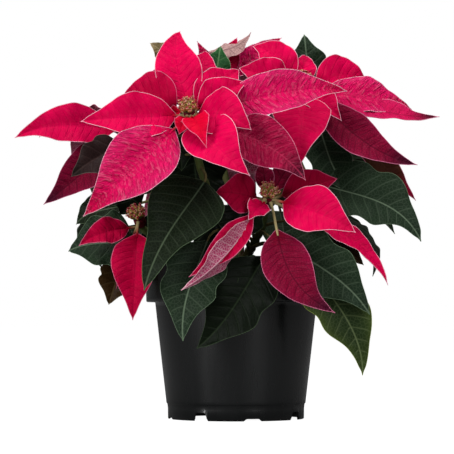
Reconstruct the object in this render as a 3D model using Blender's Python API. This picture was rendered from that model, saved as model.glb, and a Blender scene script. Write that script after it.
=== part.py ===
"""Poinsettia in a black nursery pot, as separate closed solids.

The origin is the centre of the pot's base, +Z is up and the view of the plant that
people see first is from -Y. Sizes below are in millimetres and become metres in the mesh.
"""

import math
import random
from dataclasses import dataclass

import bmesh
import bpy
from mathutils import Matrix, Vector

MM = 0.001
FIT = 0.3

# Pot, a blow-moulded nursery pot with a collar
POT_HEIGHT = 112.0
POT_WALL = 1.4
POT_FLOOR = 6.0
POT_FLOOR_THICKNESS = 1.4
FOOT_RADIUS = 9.0
FOOT_FLARE = 1.5
DRAIN_RADIUS = 4.0
DRAIN_PLACES = 37.0
DRAIN_HOLES = 6
DRAIN_SIDES = 8
DRAIN_DEPTH = 8.0
BASE_RADIUS = 48.5
BODY_TOP_RADIUS = 57.5
COLLAR_BOTTOM = 83.0
COLLAR_LOW_RADIUS = 64.0
COLLAR_TOP_RADIUS = 65.0
COLLAR_ROUND = 0.8
RIM_ROUND = 0.5
EDGE_ROUND = 0.4
BAND_HEIGHT = 11.0
BAND_STEP = 0.7
BAND_SLOPE = 0.5
POT_SIDES = 28
NOTCH_HEIGHT = 5.5
NOTCH_WIDTH = 11.0
SHALLOW_HEIGHT = 1.6
SHALLOW_WIDTH = 13.0
NOTCH_ANGLES = (-31.0, 59.0, 149.0, 239.0)
SHALLOW_ANGLES = (14.0, 104.0, 194.0, 284.0)
NOTCH_TOP_SHARE = 0.72
NOTCH_DEPTH = 8.0

# Potting soil
SOIL_TOP = 99.0
SOIL_RINGS = ((46.0, 1.0), (30.0, 2.0), (16.0, 2.5))
SOIL_GAP = FIT + 0.4
SOIL_ROUGHNESS = 1.6
SOIL_SIDES = 18

# Stems
MAIN_RADIUS = 6.0
MAIN_BOTTOM = 58.0
MAIN_TOP = 152.0
MAIN_SIDES = 12
BRANCH_RADIUS = 2.9
BRANCH_TIP_RADIUS = 2.2
HUB_RADIUS = 4.6
HUB_LENGTH = 9.0
HUB_ROOTS_SHARE = 0.72
ROOT_DEPTH = 0.9
TUBE_SIDES = 6
PATH_STEPS = 6
PATH_START = 3.0
PATH_END = 4.0

# Blades
BLADE_THICKNESS = 0.8
STALK_THICKNESS = 1.7
STALK_HALF_WIDTH = 1.0
STALK_FLARE = 0.24
LEAST_HALF_WIDTH = 0.5

# Bud-like flowers in a bloom's middle
CUSHION_RADII = (3.0, 4.6, 3.4)
CUSHION_HEIGHT = 4.0
BUD_RADII = (1.1, 2.0, 0.8)
BUD_LENGTH = 8.5
BUD_SHORTENING = 2.0
BUD_LEAN = 0.75
BUD_CIRCLE = 2.5
BUD_FOOT = 1.5

# What a union may leave: corners closer than this are joined
SMALLEST = 0.01

# Half width along a blade, as a share of the widest half width
BRACT = ((0.0, 0.06), (0.15, 0.64), (0.37, 1.0), (0.60, 0.86), (0.84, 0.32), (1.0, 0.03))
LOBED = ((0.0, 0.07), (0.13, 0.70), (0.32, 1.0), (0.43, 0.84), (0.56, 0.90), (0.78, 0.40),
         (1.0, 0.03))
BROAD = ((0.0, 0.10), (0.09, 0.70), (0.24, 1.0), (0.42, 0.90), (0.60, 0.52), (0.84, 0.26),
         (1.0, 0.03))
NARROW = ((0.0, 0.06), (0.17, 0.64), (0.40, 1.0), (0.68, 0.68), (0.90, 0.20), (1.0, 0.03))

RED = (0.72, 0.0, 0.055, 1.0)
GREEN = (0.03, 0.07, 0.028, 1.0)
BARK = (0.16, 0.12, 0.06, 1.0)
BUD = (0.36, 0.40, 0.06, 1.0)
PLASTIC = (0.012, 0.013, 0.014, 1.0)
PEAT = (0.035, 0.020, 0.012, 1.0)


@dataclass
class Blade:
    """One bract or leaf: where its tip is, how wide it is and how it is bent."""

    tip: tuple
    wide: float
    lift: float = 6.0
    roll: float = 0.0
    twist: float = 0.0
    fold: float = 14.0
    wave: float = 1.4
    bend: float = 0.0
    stalk: float = 0.14
    outline: tuple = BRACT
    at: float = 1.0
    face: tuple = None
    neck: tuple = None


@dataclass
class Branch:
    """One flowering branch: its way up from the main stem, its bloom and its leaves."""

    name: str
    leaves_at: float
    bearing: float
    hub: tuple
    facing: tuple
    bracts: list
    leaves: list
    buds: int = 6


FRONT = (0.0, -1.0, 0.25)
HIGH = (0.0, -0.7, 0.7)
UP = (0.0, 0.0, 1.0)

BRANCHES = (
    Branch("front_left", 128.0, 246.0, (-32, -60, 211), (-0.12, -0.80, 0.60), [
        Blade((-39, -33, 272), 33, lift=7, bend=-5, stalk=0.06, face=FRONT),
        Blade((-21, -26, 259), 26, lift=5, face=FRONT),
        Blade((2, -40, 244), 30, lift=5, stalk=0.07, face=FRONT),
        Blade((-55, -32, 248), 30, lift=5, face=FRONT),
        Blade((-79, -44, 222), 36, lift=7, bend=5, face=FRONT),
        Blade((76, -60, 227), 32, lift=9, bend=-3, stalk=0.16, face=FRONT),
        Blade((47, -74, 165), 36, lift=7, bend=-5, stalk=0.22, face=FRONT),
        Blade((-102, -104, 139), 46, lift=12, bend=-3, face=FRONT),
        Blade((-105, -84, 204), 34, lift=6, bend=-1, stalk=0.08, face=FRONT),
        Blade((9, -104, 166), 38, lift=9, bend=4, stalk=0.08, face=FRONT),
        Blade((10, -86, 198), 36, lift=7, bend=-3, stalk=0.07, face=FRONT),
        Blade((7, -64, 233), 26, lift=4, stalk=0.07, face=FRONT),
        Blade((-20, -98, 185), 20, lift=9, face=FRONT),
        Blade((-39, -75, 196), 14, lift=2, face=FRONT),
        Blade((-49, -56, 211), 10, lift=1, face=FRONT),
    ], [
        Blade((-62, -92, 90), 52, neck=(-22, -56, 165), lift=7, bend=3, at=0.7, face=FRONT,
              outline=BROAD),
        Blade((-115, -36, 170), 28, neck=(-80, -28, 193), lift=5, at=0.8, face=FRONT,
              outline=LOBED),
        Blade((-26, -14, 140), 46, neck=(-30, -12, 190), lift=4, at=0.6, face=FRONT,
              outline=LOBED),
        Blade((-80, -30, 160), 36, neck=(-60, -24, 175), lift=5, at=0.75, face=FRONT,
              outline=LOBED),
        Blade((-38, -36, 174), 34, neck=(-40, -30, 213), lift=3, at=0.9, face=FRONT, outline=LOBED),
    ], buds=11),
    Branch("right", 140.0, 350.0, (46, -12, 234), (0.10, -0.55, 0.83), [
        Blade((12, 4, 266), 28, lift=5, bend=4, face=FRONT),
        Blade((2, -16, 248), 30, lift=5, face=FRONT),
        Blade((49, 4, 260), 20, lift=3, face=FRONT),
        Blade((94, 6, 238), 33, lift=6, bend=-5, face=FRONT),
        Blade((125, -6, 220), 31, lift=8, bend=3, face=(0.0, -0.9, 0.5)),
        Blade((144, -14, 214), 24, lift=3, bend=10, face=HIGH),
        Blade((73, -46, 208), 22, lift=5, face=FRONT),
        Blade((43, -62, 175), 42, lift=10, face=FRONT),
        Blade((126, -40, 178), 28, lift=8, bend=10, face=FRONT),
        Blade((128, -6, 155), 19, lift=6, stalk=0.3, face=FRONT),
        Blade((96, 42, 226), 32, lift=7),
    ], [
        Blade((129, -34, 125), 50, neck=(58, -24, 166), lift=8, bend=-6, at=0.7,
              face=(0.2, -0.9, 0.4), outline=LOBED),
        Blade((112, 10, 164), 28, neck=(76, 6, 177), lift=4, at=0.75, face=(0.1, -0.9, 0.4)),
        Blade((84, -26, 159), 34, neck=(60, -8, 204), lift=3, bend=5, at=0.85, face=FRONT,
              outline=LOBED),
        Blade((38, -2, 170), 42, neck=(30, 0, 214), lift=4, at=0.85, face=FRONT, outline=LOBED),
        Blade((60, -14, 130), 44, neck=(45, -12, 169), lift=5, at=0.6, face=FRONT,
              outline=LOBED),
        Blade((88, 2, 202), 30, neck=(58, 2, 213), lift=5, at=0.9, face=FRONT, outline=LOBED),
        Blade((100, 32, 102), 49, neck=(70, 16, 150), lift=8, at=0.55, face=(0.8, 0.0, 0.5),
              outline=LOBED),
        Blade((104, 40, 174), 41, neck=(62, 16, 190), lift=6, at=0.8, face=(0.3, 0.1, 0.9),
              outline=LOBED),
    ]),
    Branch("front_right", 112.0, 296.0, (22, -50, 154), (0.05, -0.85, 0.52), [
        Blade((18, -36, 180), 14, lift=3, face=FRONT),
        Blade((39, -32, 181), 16, lift=3, face=FRONT),
        Blade((70, -44, 168), 25, lift=4, face=FRONT),
        Blade((-14, -56, 158), 30, lift=4, face=FRONT),
        Blade((104, -60, 94), 18, lift=6, bend=-8, stalk=0.2, face=HIGH),
        Blade((66, -92, 75), 34, lift=7, bend=13, stalk=0.24, face=FRONT),
        Blade((-37, -104, 90), 22, lift=-7, roll=125, stalk=0.2, outline=NARROW, face=FRONT),
        Blade((8, -72, 138), 17, lift=3, face=FRONT),
        Blade((80, -88, 129), 36, lift=6, bend=-1, face=FRONT),
        Blade((-32, -92, 99), 20, lift=4, bend=-4, stalk=0.2, face=FRONT),
    ], [
        Blade((-36, -84, 56), 44, neck=(-20, -64, 124), lift=4, bend=4, at=0.5, face=FRONT,
              outline=LOBED),
        Blade((-27, -74, 51), 46, neck=(19, -70, 113), lift=3, bend=-4, at=0.35, face=FRONT,
              outline=LOBED),
        Blade((91, -66, 74), 45, neck=(25, -60, 126), lift=5, bend=-4, at=0.6, face=FRONT,
              outline=LOBED),
        Blade((87, -52, 32), 41, neck=(44, -56, 114), lift=5, bend=-7, at=0.4, face=FRONT,
              outline=LOBED),
        Blade((88, -50, 108), 26, neck=(53, -42, 135), lift=4, at=0.7, face=FRONT,
              outline=LOBED),
        Blade((0, -62, 117), 38, neck=(4, -36, 150), lift=4, at=0.5, face=FRONT,
              outline=LOBED),
        Blade((-30, -38, 122), 26, neck=(-8, -34, 142), lift=3, at=0.4, face=FRONT,
              outline=LOBED),
        Blade((-17, -72, 69), 15, neck=(1, -69, 114), lift=2, at=0.35, face=FRONT,
              outline=NARROW),
    ]),
    Branch("left", 118.0, 195.0, (-68, -15, 140), (-0.25, -0.75, 0.60), [
        Blade((-110, -32, 122), 20, lift=5, bend=2, face=FRONT),
        Blade((-84, -28, 92), 10, lift=4, outline=NARROW, face=FRONT),
        Blade((-71, -60, 70), 34, lift=9, face=FRONT),
    ], [
        Blade((-119, -8, 119), 47, neck=(-71, -11, 125), lift=6, at=0.7,
              face=(-0.2, -0.9, 0.4), outline=LOBED),
        Blade((-115, 12, 139), 30, neck=(-82, 6, 152), lift=5, at=0.85,
              face=(-0.2, -0.8, 0.5)),
        Blade((-90, -15, 81), 28, neck=(-80, -10, 111), lift=2, at=0.6, face=FRONT,
              outline=LOBED),
        Blade((-54, 5, 111), 35, neck=(-50, 9, 148), lift=3, at=0.45, face=FRONT,
              outline=LOBED),
        Blade((-92, 0, 168), 30, neck=(-68, -2, 152), lift=4, at=0.95, face=FRONT,
              outline=LOBED),
        Blade((-98, 30, 108), 44, neck=(-74, 16, 128), lift=7, at=0.6, face=(-0.8, 0.0, 0.5),
              outline=LOBED),
    ], buds=5),
    Branch("top", 148.0, 100.0, (-14, 40, 244), (0.0, 0.15, 0.98), [
        Blade((11, 16, 278), 16, neck=(-23, 22, 262), lift=3, bend=-3, roll=150, face=FRONT),
        Blade((-28, 12, 271), 14, lift=4, face=FRONT),
        Blade((1, 30, 276), 18, lift=4, face=FRONT),
        Blade((34, 46, 278), 18, lift=4, face=FRONT),
        Blade((-52, 68, 252), 29, lift=5),
        Blade((-28, 104, 240), 33, lift=7),
        Blade((16, 104, 242), 33, lift=7),
        Blade((42, 78, 250), 27, lift=5),
        Blade((-64, 36, 250), 27, lift=5),
    ], [
        Blade((-11, 8, 267), 20, neck=(-15, 6, 240), lift=1, at=0.8, face=FRONT),
        Blade((-62, 74, 208), 46, neck=(-26, 52, 212), lift=8, at=0.7, face=UP),
        Blade((18, 104, 204), 46, neck=(0, 62, 212), lift=8, at=0.7, face=UP),
        Blade((26, 14, 196), 44, neck=(2, 28, 210), lift=6, at=0.65, face=UP, outline=LOBED),
    ]),
    Branch("back_right", 134.0, 52.0, (50, 70, 214), (0.25, 0.45, 0.86), [
        Blade((108, 50, 226), 32, lift=6),
        Blade((124, 90, 226), 33, lift=8),
        Blade((96, 138, 190), 39, lift=10),
        Blade((44, 148, 198), 39, lift=10),
        Blade((80, 94, 210), 24, lift=3),
        Blade((22, 86, 220), 24, lift=3),
    ], [
        Blade((118, 56, 134), 44, lift=10, at=0.6, face=(0.8, 0.3, 0.5), stalk=0.3),
        Blade((88, 112, 100), 46, lift=10, at=0.5, face=(0.5, 0.8, 0.5), stalk=0.3),
        Blade((38, 128, 108), 44, lift=10, at=0.55, face=(0.2, 0.9, 0.5), stalk=0.3),
        Blade((118, 88, 150), 44, neck=(78, 74, 178), lift=7, at=0.8, face=(0.5, 0.3, 0.8)),
        Blade((66, 126, 150), 44, neck=(54, 88, 178), lift=7, at=0.8, face=(0.1, 0.5, 0.8)),
        Blade((50, 36, 279), 32, neck=(54, 40, 240), lift=2, at=0.88, face=FRONT,
              outline=LOBED),
    ]),
    Branch("back_left", 126.0, 160.0, (-74, 36, 212), (-0.30, 0.10, 0.94), [
        Blade((-158, -2, 200), 31, lift=6, bend=5, face=FRONT),
        Blade((-138, 6, 153), 32, lift=7, bend=-3, face=FRONT),
        Blade((-62, 16, 270), 15, neck=(-46, 20, 258), lift=2, face=FRONT),
        Blade((-146, 60, 206), 34, lift=9),
        Blade((-124, 104, 190), 37, lift=9),
        Blade((-82, 118, 204), 34, lift=8),
        Blade((-122, 36, 218), 27, lift=4),
    ], [
        Blade((-118, 56, 124), 44, lift=9, at=0.6, face=(-0.8, 0.2, 0.5), stalk=0.3),
        Blade((-98, 96, 100), 34, lift=9, at=0.5, face=(-0.5, 0.7, 0.5), stalk=0.3),
        Blade((-118, 48, 166), 41, neck=(-92, 40, 176), lift=7, at=0.85, face=(-0.5, 0.1, 0.8)),
        Blade((-104, 92, 152), 41, neck=(-78, 58, 174), lift=7, at=0.8, face=(-0.2, 0.4, 0.8)),
    ]),
    Branch("back", 116.0, 98.0, (-20, 92, 184), (-0.10, 0.70, 0.70), [
        Blade((-74, 132, 180), 34, lift=8),
        Blade((-40, 160, 150), 37, lift=10),
        Blade((18, 156, 152), 37, lift=10),
        Blade((34, 124, 176), 27, lift=5),
        Blade((-72, 120, 146), 32, lift=7),
    ], [
        Blade((-44, 122, 78), 44, lift=9, at=0.5, face=(-0.2, 0.9, 0.4), stalk=0.3),
        Blade((10, 126, 74), 44, lift=9, at=0.45, face=(0.1, 0.9, 0.4), stalk=0.3),
        Blade((-62, 96, 108), 30, neck=(-34, 66, 142), lift=6, at=0.6, face=(-0.3, 0.7, 0.6)),
    ]),
)


def material(name, colour, roughness):
    """A Principled material with the piece's own colour."""
    made = bpy.data.materials.new(name)
    made.use_nodes = True
    shader = made.node_tree.nodes["Principled BSDF"]
    shader.inputs["Base Color"].default_value = colour
    shader.inputs["Roughness"].default_value = roughness
    made.diffuse_color = colour
    return made


def add_object(name, bm, finish=None):
    """Turn a bmesh in millimetres into an object in metres with one material."""
    bmesh.ops.recalc_face_normals(bm, faces=bm.faces)
    if bm.calc_volume(signed=True) < 0:
        bmesh.ops.reverse_faces(bm, faces=bm.faces)
    bmesh.ops.scale(bm, vec=(MM, MM, MM), verts=bm.verts)
    mesh = bpy.data.meshes.new(name)
    bm.to_mesh(mesh)
    bm.free()
    made = bpy.data.objects.new(name, mesh)
    bpy.context.scene.collection.objects.link(made)
    if finish:
        mesh.materials.append(finish)
    return made


def turned(profile, sides):
    """Turn a closed profile of (radius, height) points about Z; radius 0 is the axis."""
    bm = bmesh.new()
    rings = []
    for radius, height in profile:
        if radius == 0.0:
            rings.append([bm.verts.new((0.0, 0.0, height))])
            continue
        ring = []
        for i in range(sides):
            angle = math.tau * i / sides
            ring.append(bm.verts.new((radius * math.cos(angle), radius * math.sin(angle), height)))
        rings.append(ring)
    for lower, upper in zip(rings, rings[1:] + rings[:1]):
        if len(lower) == 1 and len(upper) == 1:
            continue
        for i in range(sides):
            j = (i + 1) % sides
            if len(lower) == 1:
                bm.faces.new((lower[0], upper[i], upper[j]))
            elif len(upper) == 1:
                bm.faces.new((lower[i], upper[0], lower[j]))
            else:
                bm.faces.new((lower[i], upper[i], upper[j], lower[j]))
    return bm


def swept(points, radii, sides):
    """A round bar with flat ends along a list of points."""
    bm = bmesh.new()
    rings = []
    for i, point in enumerate(points):
        ahead = points[min(i + 1, len(points) - 1)]
        behind = points[max(i - 1, 0)]
        turn = (ahead - behind).to_track_quat("Z", "Y")
        ring = []
        for k in range(sides):
            angle = math.tau * k / sides
            out = Vector((radii[i] * math.cos(angle), radii[i] * math.sin(angle), 0.0))
            ring.append(bm.verts.new(point + turn @ out))
        rings.append(ring)
    for lower, upper in zip(rings, rings[1:]):
        for k in range(sides):
            j = (k + 1) % sides
            bm.faces.new((lower[k], lower[j], upper[j], upper[k]))
    bm.faces.new(rings[0])
    bm.faces.new(rings[-1])
    return bm


def curve_point(a, b, c, d, t):
    """A point on the cubic curve with the control points a, b, c and d."""
    s = 1.0 - t
    return a * s ** 3 + b * 3 * s * s * t + c * 3 * s * t * t + d * t ** 3


def curve_way(a, b, c, d, t):
    """The direction of that curve."""
    s = 1.0 - t
    return ((b - a) * 3 * s * s + (c - b) * 6 * s * t + (d - c) * 3 * t * t).normalized()


def half_width(blade, share):
    """Half width and half thickness at a share of the way from root to tip."""
    stalk = blade.stalk
    if share < stalk:
        return STALK_HALF_WIDTH, STALK_THICKNESS / 2
    along = (share - stalk) / (1.0 - stalk)
    points = blade.outline
    for (u0, h0), (u1, h1) in zip(points, points[1:]):
        if along <= u1 + 1e-9:
            part = (along - u0) / (u1 - u0)
            wide = (h0 + (h1 - h0) * part) * blade.wide / 2
            break
    thick = BLADE_THICKNESS / 2
    if along < STALK_FLARE:
        thick += (STALK_THICKNESS - BLADE_THICKNESS) / 2 * (1.0 - along / STALK_FLARE)
    return max(wide, LEAST_HALF_WIDTH), thick


def blade_sections(blade, root, facing, seed):
    """Centre, side, normal, half width, half thickness and edge waves along a blade."""
    draw = random.Random(seed)
    phases = (draw.uniform(0, math.tau), draw.uniform(0, math.tau))
    tip = Vector(blade.tip)
    neck = Vector(blade.neck) if blade.neck else root
    chord = tip - neck
    face = Vector(blade.face or facing).normalized()
    along = chord.normalized()
    normal = (face - along * face.dot(along)).normalized()
    normal = Matrix.Rotation(math.radians(blade.roll), 3, along) @ normal
    side = along.cross(normal)
    push = normal * blade.lift * 4 / 3 + side * blade.bend * 4 / 3
    a, b, c, d = neck, neck + chord * 0.33 + push * 0.4, neck + chord * 0.67 + push * 1.6, tip
    reach = (neck - root).length / 3
    entry = (b - a).normalized() * reach
    stalk_curve = (root, root.lerp(neck, 0.33) + Vector((0, 0, reach * 0.4)), neck - entry, neck)
    shares = [0.0, blade.stalk * 0.5] if blade.neck else [0.0]
    shares += [blade.stalk + (1 - blade.stalk) * u for u, _ in blade.outline]
    sections = []
    for share in shares:
        if blade.neck and share < blade.stalk - 1e-6:
            centre = curve_point(*stalk_curve, share / blade.stalk)
            way = curve_way(*stalk_curve, share / blade.stalk)
        else:
            run = (share - blade.stalk) / (1 - blade.stalk) if blade.neck else share
            centre = curve_point(a, b, c, d, run)
            way = curve_way(a, b, c, d, run)
        spin = Matrix.Rotation(math.radians(blade.twist * share), 3, way)
        up = spin @ (normal - way * normal.dot(way)).normalized()
        across = way.cross(up)
        wide, thick = half_width(blade, share)
        leafy = max(0.0, (share - blade.stalk) / (1 - blade.stalk))
        swell = blade.wave * math.sin(math.pi * min(1.0, leafy)) if leafy > 0 else 0.0
        waves = [swell * math.sin(2.5 * math.tau * leafy + phase) for phase in phases]
        sections.append((centre, across, up, wide, thick, waves, leafy > 0))
    return sections


def blade_bmesh(blade, root, facing, seed):
    """A closed thin blade: stalk, folded and waved halves, both faces split alike."""
    bm = bmesh.new()
    rows = []
    for centre, across, up, wide, thick, waves, leafy in blade_sections(blade, root, facing, seed):
        fold = math.radians(blade.fold) if leafy else 0.0
        tops = []
        lows = []
        for sign, wave in ((-1, waves[0]), (0, 0.0), (1, waves[1])):
            out = across * (sign * wide * math.cos(fold))
            out += up * (abs(sign) * (wide * math.sin(fold) + wave))
            tops.append(bm.verts.new(centre + out + up * thick))
            lows.append(bm.verts.new(centre + out - up * thick))
        rows.append((tops, lows))
    for (tops, lows), (next_tops, next_lows) in zip(rows, rows[1:]):
        for k in range(2):
            bm.faces.new((tops[k], tops[k + 1], next_tops[k + 1]))
            bm.faces.new((tops[k], next_tops[k + 1], next_tops[k]))
            bm.faces.new((lows[k], next_lows[k + 1], lows[k + 1]))
            bm.faces.new((lows[k], next_lows[k], next_lows[k + 1]))
        for k in (0, 2):
            bm.faces.new((tops[k], next_tops[k], next_lows[k]))
            bm.faces.new((tops[k], next_lows[k], lows[k]))
    for tops, lows in (rows[0], rows[-1]):
        for k in range(2):
            bm.faces.new((tops[k], lows[k], lows[k + 1], tops[k + 1]))
    return bm


def branch_path(branch):
    """The stem's points from the side of the main stem to just under the bloom."""
    bearing = math.radians(branch.bearing)
    out = Vector((math.cos(bearing), math.sin(bearing), 0.0))
    start = out * (MAIN_RADIUS + FIT) + Vector((0, 0, branch.leaves_at))
    facing = Vector(branch.facing).normalized()
    end = Vector(branch.hub) - facing * (HUB_LENGTH / 2 + FIT)
    reach = (end - start).length
    first = start + out * PATH_START
    points = [start, first]
    near = first + (out + Vector((0, 0, 0.5))) * reach * 0.25
    late = end - (facing * 0.7 + Vector((0, 0, 0.5))) * reach * 0.3
    for i in range(1, PATH_STEPS + 1):
        points.append(curve_point(first, near, late, end, i / PATH_STEPS))
    points[-2] = points[-1] - facing * PATH_END
    return points


def path_point(points, share):
    """A point at a share of the number of steps along a list of points."""
    place = share * (len(points) - 1)
    i = min(int(place), len(points) - 2)
    return points[i].lerp(points[i + 1], place - i)


def bract_roots(branch):
    """Where each bract leaves the bloom's hub, the outer ones lowest."""
    facing = Vector(branch.facing).normalized()
    hub = Vector(branch.hub)
    count = len(branch.bracts)
    roots = []
    for i, bract in enumerate(branch.bracts):
        away = Vector(bract.tip) - hub
        away = (away - facing * away.dot(facing)).normalized()
        height = (i / max(1, count - 1) - 0.5) * HUB_LENGTH * HUB_ROOTS_SHARE
        roots.append(hub + facing * height + away * (HUB_RADIUS - ROOT_DEPTH))
    return roots


def branch_blades(branch):
    """Every blade of a branch with its root and facing: bracts, then green leaves."""
    bracts = []
    for i, (bract, root) in enumerate(zip(branch.bracts, bract_roots(branch))):
        seed = f"{branch.name} bract {i}"
        bracts.append((f"{branch.name}.bract.{i}", bract, root, branch.facing, seed))
    points = branch_path(branch)
    leaves = []
    for i, leaf in enumerate(branch.leaves):
        seed = f"{branch.name} leaf {i}"
        root = path_point(points, leaf.at)
        leaves.append((f"{branch.name}.leaf.{i}", leaf, root, UP, seed))
    return bracts, leaves


def turn_long_edges(bm):
    """Turn the long edge of each triangle that is nearly a line, so it gets a height."""
    edges = []
    used = set()
    for face in bm.faces:
        edge = max(face.edges, key=lambda side: side.calc_length())
        height = 2 * face.calc_area() / edge.calc_length()
        if height > SMALLEST * MM or used.intersection(edge.link_faces):
            continue
        far = {vert for side in edge.link_faces for vert in side.verts} - set(edge.verts)
        joined = any(far <= set(other.verts) for vert in far for other in vert.link_edges)
        if len(far) == 2 and not joined:
            used.update(edge.link_faces)
            edges.append(edge)
    bmesh.ops.rotate_edges(bm, edges=edges)


def keep_largest(mesh):
    """Fill the small hollows that a union seals, and join corners that nearly touch."""
    bm = bmesh.new()
    bm.from_mesh(mesh)
    left = set(bm.faces)
    islands = []
    while left:
        seed = left.pop()
        island = [seed]
        for face in island:
            for edge in face.edges:
                for other in edge.link_faces:
                    if other in left:
                        left.remove(other)
                        island.append(other)
        islands.append(island)
    islands.sort(key=len)
    for island in islands[:-1]:
        bmesh.ops.delete(bm, geom=island, context="FACES")
    bmesh.ops.dissolve_limit(bm, angle_limit=math.radians(0.2), verts=bm.verts,
                             edges=bm.edges)
    bmesh.ops.triangulate(bm, faces=bm.faces)
    for _ in range(3):
        bmesh.ops.dissolve_degenerate(bm, dist=SMALLEST * MM, edges=bm.edges)
        bmesh.ops.triangulate(bm, faces=bm.faces)
        turn_long_edges(bm)
    bm.to_mesh(mesh)
    bm.free()


def fuse(body, pieces):
    """Join the pieces to the body by one Boolean union on their collection.

    The manifold solver is used because the exact one leaves open edges in three leafy stems.
    """
    group = bpy.data.collections.new(body.name + ".pieces")
    for piece in pieces:
        bpy.context.scene.collection.objects.unlink(piece)
        group.objects.link(piece)
    bpy.context.scene.collection.children.link(group)
    joint = body.modifiers.new("union", "BOOLEAN")
    joint.operation = "UNION"
    joint.solver = "MANIFOLD"
    joint.operand_type = "COLLECTION"
    joint.collection = group
    graph = bpy.context.evaluated_depsgraph_get()
    mesh = bpy.data.meshes.new_from_object(body.evaluated_get(graph))
    body.modifiers.clear()
    body.data = mesh
    keep_largest(mesh)
    for piece in list(group.objects):
        bpy.data.objects.remove(piece)
    bpy.data.collections.remove(group)


def make_pot(finish):
    """The thin-walled pot: foot band, tapered body, collar, and notches at its foot."""
    slope = (BODY_TOP_RADIUS - BASE_RADIUS) / COLLAR_BOTTOM
    band = BASE_RADIUS + slope * BAND_HEIGHT
    inner_low = BASE_RADIUS - POT_WALL
    top_of_floor = POT_FLOOR + POT_FLOOR_THICKNESS
    profile = [
        (0.0, 0.0),
        (FOOT_RADIUS, 0.0),
        (FOOT_RADIUS + FOOT_FLARE, POT_FLOOR),
        (inner_low, POT_FLOOR),
        (inner_low, 0.0),
        (BASE_RADIUS - EDGE_ROUND, 0.0),
        (BASE_RADIUS, EDGE_ROUND),
        (band - BAND_STEP, BAND_HEIGHT - BAND_SLOPE),
        (band, BAND_HEIGHT + BAND_SLOPE),
        (BODY_TOP_RADIUS, COLLAR_BOTTOM),
        (COLLAR_LOW_RADIUS - COLLAR_ROUND, COLLAR_BOTTOM),
        (COLLAR_LOW_RADIUS, COLLAR_BOTTOM + COLLAR_ROUND),
        (COLLAR_TOP_RADIUS, POT_HEIGHT - RIM_ROUND),
        (COLLAR_TOP_RADIUS - RIM_ROUND, POT_HEIGHT),
        (COLLAR_TOP_RADIUS - POT_WALL, POT_HEIGHT),
        (COLLAR_LOW_RADIUS - POT_WALL, COLLAR_BOTTOM + POT_WALL),
        (BODY_TOP_RADIUS - POT_WALL, COLLAR_BOTTOM + POT_WALL),
        (inner_low + slope * top_of_floor, top_of_floor),
        (0.0, top_of_floor),
    ]
    pot = add_object("pot", turned(profile, POT_SIDES), finish)
    cutters = []
    for angles, height, width, name in (
        (NOTCH_ANGLES, NOTCH_HEIGHT, NOTCH_WIDTH, "notch"),
        (SHALLOW_ANGLES, SHALLOW_HEIGHT, SHALLOW_WIDTH, "shallow_notch"),
    ):
        for i, angle in enumerate(angles):
            bm = bmesh.new()
            bmesh.ops.create_cube(bm, size=1.0)
            for vert in bm.verts:
                top = vert.co.z > 0
                spread = NOTCH_TOP_SHARE if top else 1.0
                vert.co = Vector((
                    vert.co.x * width * spread,
                    -BASE_RADIUS + vert.co.y * NOTCH_DEPTH,
                    height if top else -1.0,
                ))
            bmesh.ops.rotate(bm, verts=bm.verts, cent=(0, 0, 0),
                             matrix=Matrix.Rotation(math.radians(angle), 3, "Z"))
            cutters.append(add_object(f"{name}.{i}", bm))
    for i in range(DRAIN_HOLES):
        bm = bmesh.new()
        bmesh.ops.create_cone(bm, cap_ends=True, segments=DRAIN_SIDES, radius1=DRAIN_RADIUS,
                              radius2=DRAIN_RADIUS, depth=DRAIN_DEPTH)
        angle = math.tau * i / DRAIN_HOLES
        place = (DRAIN_PLACES * math.cos(angle), DRAIN_PLACES * math.sin(angle), POT_FLOOR)
        bmesh.ops.translate(bm, verts=bm.verts, vec=place)
        cutters.append(add_object(f"drain.{i}", bm))
    for cutter in cutters:
        cut = pot.modifiers.new(cutter.name, "BOOLEAN")
        cut.operation = "DIFFERENCE"
        cut.solver = "MANIFOLD"
        cut.object = cutter
    graph = bpy.context.evaluated_depsgraph_get()
    mesh = bpy.data.meshes.new_from_object(pot.evaluated_get(graph))
    pot.modifiers.clear()
    pot.data = mesh
    for cutter in cutters:
        bpy.data.objects.remove(cutter)
    pot.data.shade_smooth()
    pot.data.set_sharp_from_angle(angle=math.radians(30))


def make_soil(finish):
    """Peat that fills the pot, with a crumbly top and a plain hole for the main stem."""
    slope = (BODY_TOP_RADIUS - BASE_RADIUS) / COLLAR_BOTTOM
    low = POT_FLOOR + POT_FLOOR_THICKNESS + FIT
    base = BASE_RADIUS - POT_WALL + slope * low - SOIL_GAP
    shoulder = COLLAR_BOTTOM + POT_WALL
    profile = [
        (0.0, low),
        (base, low),
        (BODY_TOP_RADIUS - POT_WALL - SOIL_GAP, shoulder + FIT),
        (COLLAR_LOW_RADIUS - POT_WALL - SOIL_GAP, shoulder + FIT),
        (COLLAR_LOW_RADIUS - POT_WALL - SOIL_GAP, SOIL_TOP),
        *[(radius, SOIL_TOP + rise) for radius, rise in SOIL_RINGS],
        (MAIN_RADIUS + FIT, SOIL_TOP + SOIL_RINGS[-1][1]),
        (MAIN_RADIUS + FIT, MAIN_BOTTOM - FIT),
        (0.0, MAIN_BOTTOM - FIT),
    ]
    bm = turned(profile, SOIL_SIDES)
    draw = random.Random("soil crumbs")
    for vert in bm.verts:
        radius = math.hypot(vert.co.x, vert.co.y)
        if vert.co.z > SOIL_TOP - 0.1 and MAIN_RADIUS + 1 < radius < COLLAR_LOW_RADIUS - 3:
            vert.co.z += draw.uniform(-SOIL_ROUGHNESS, SOIL_ROUGHNESS)
    add_object("soil", bm, finish)


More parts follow.
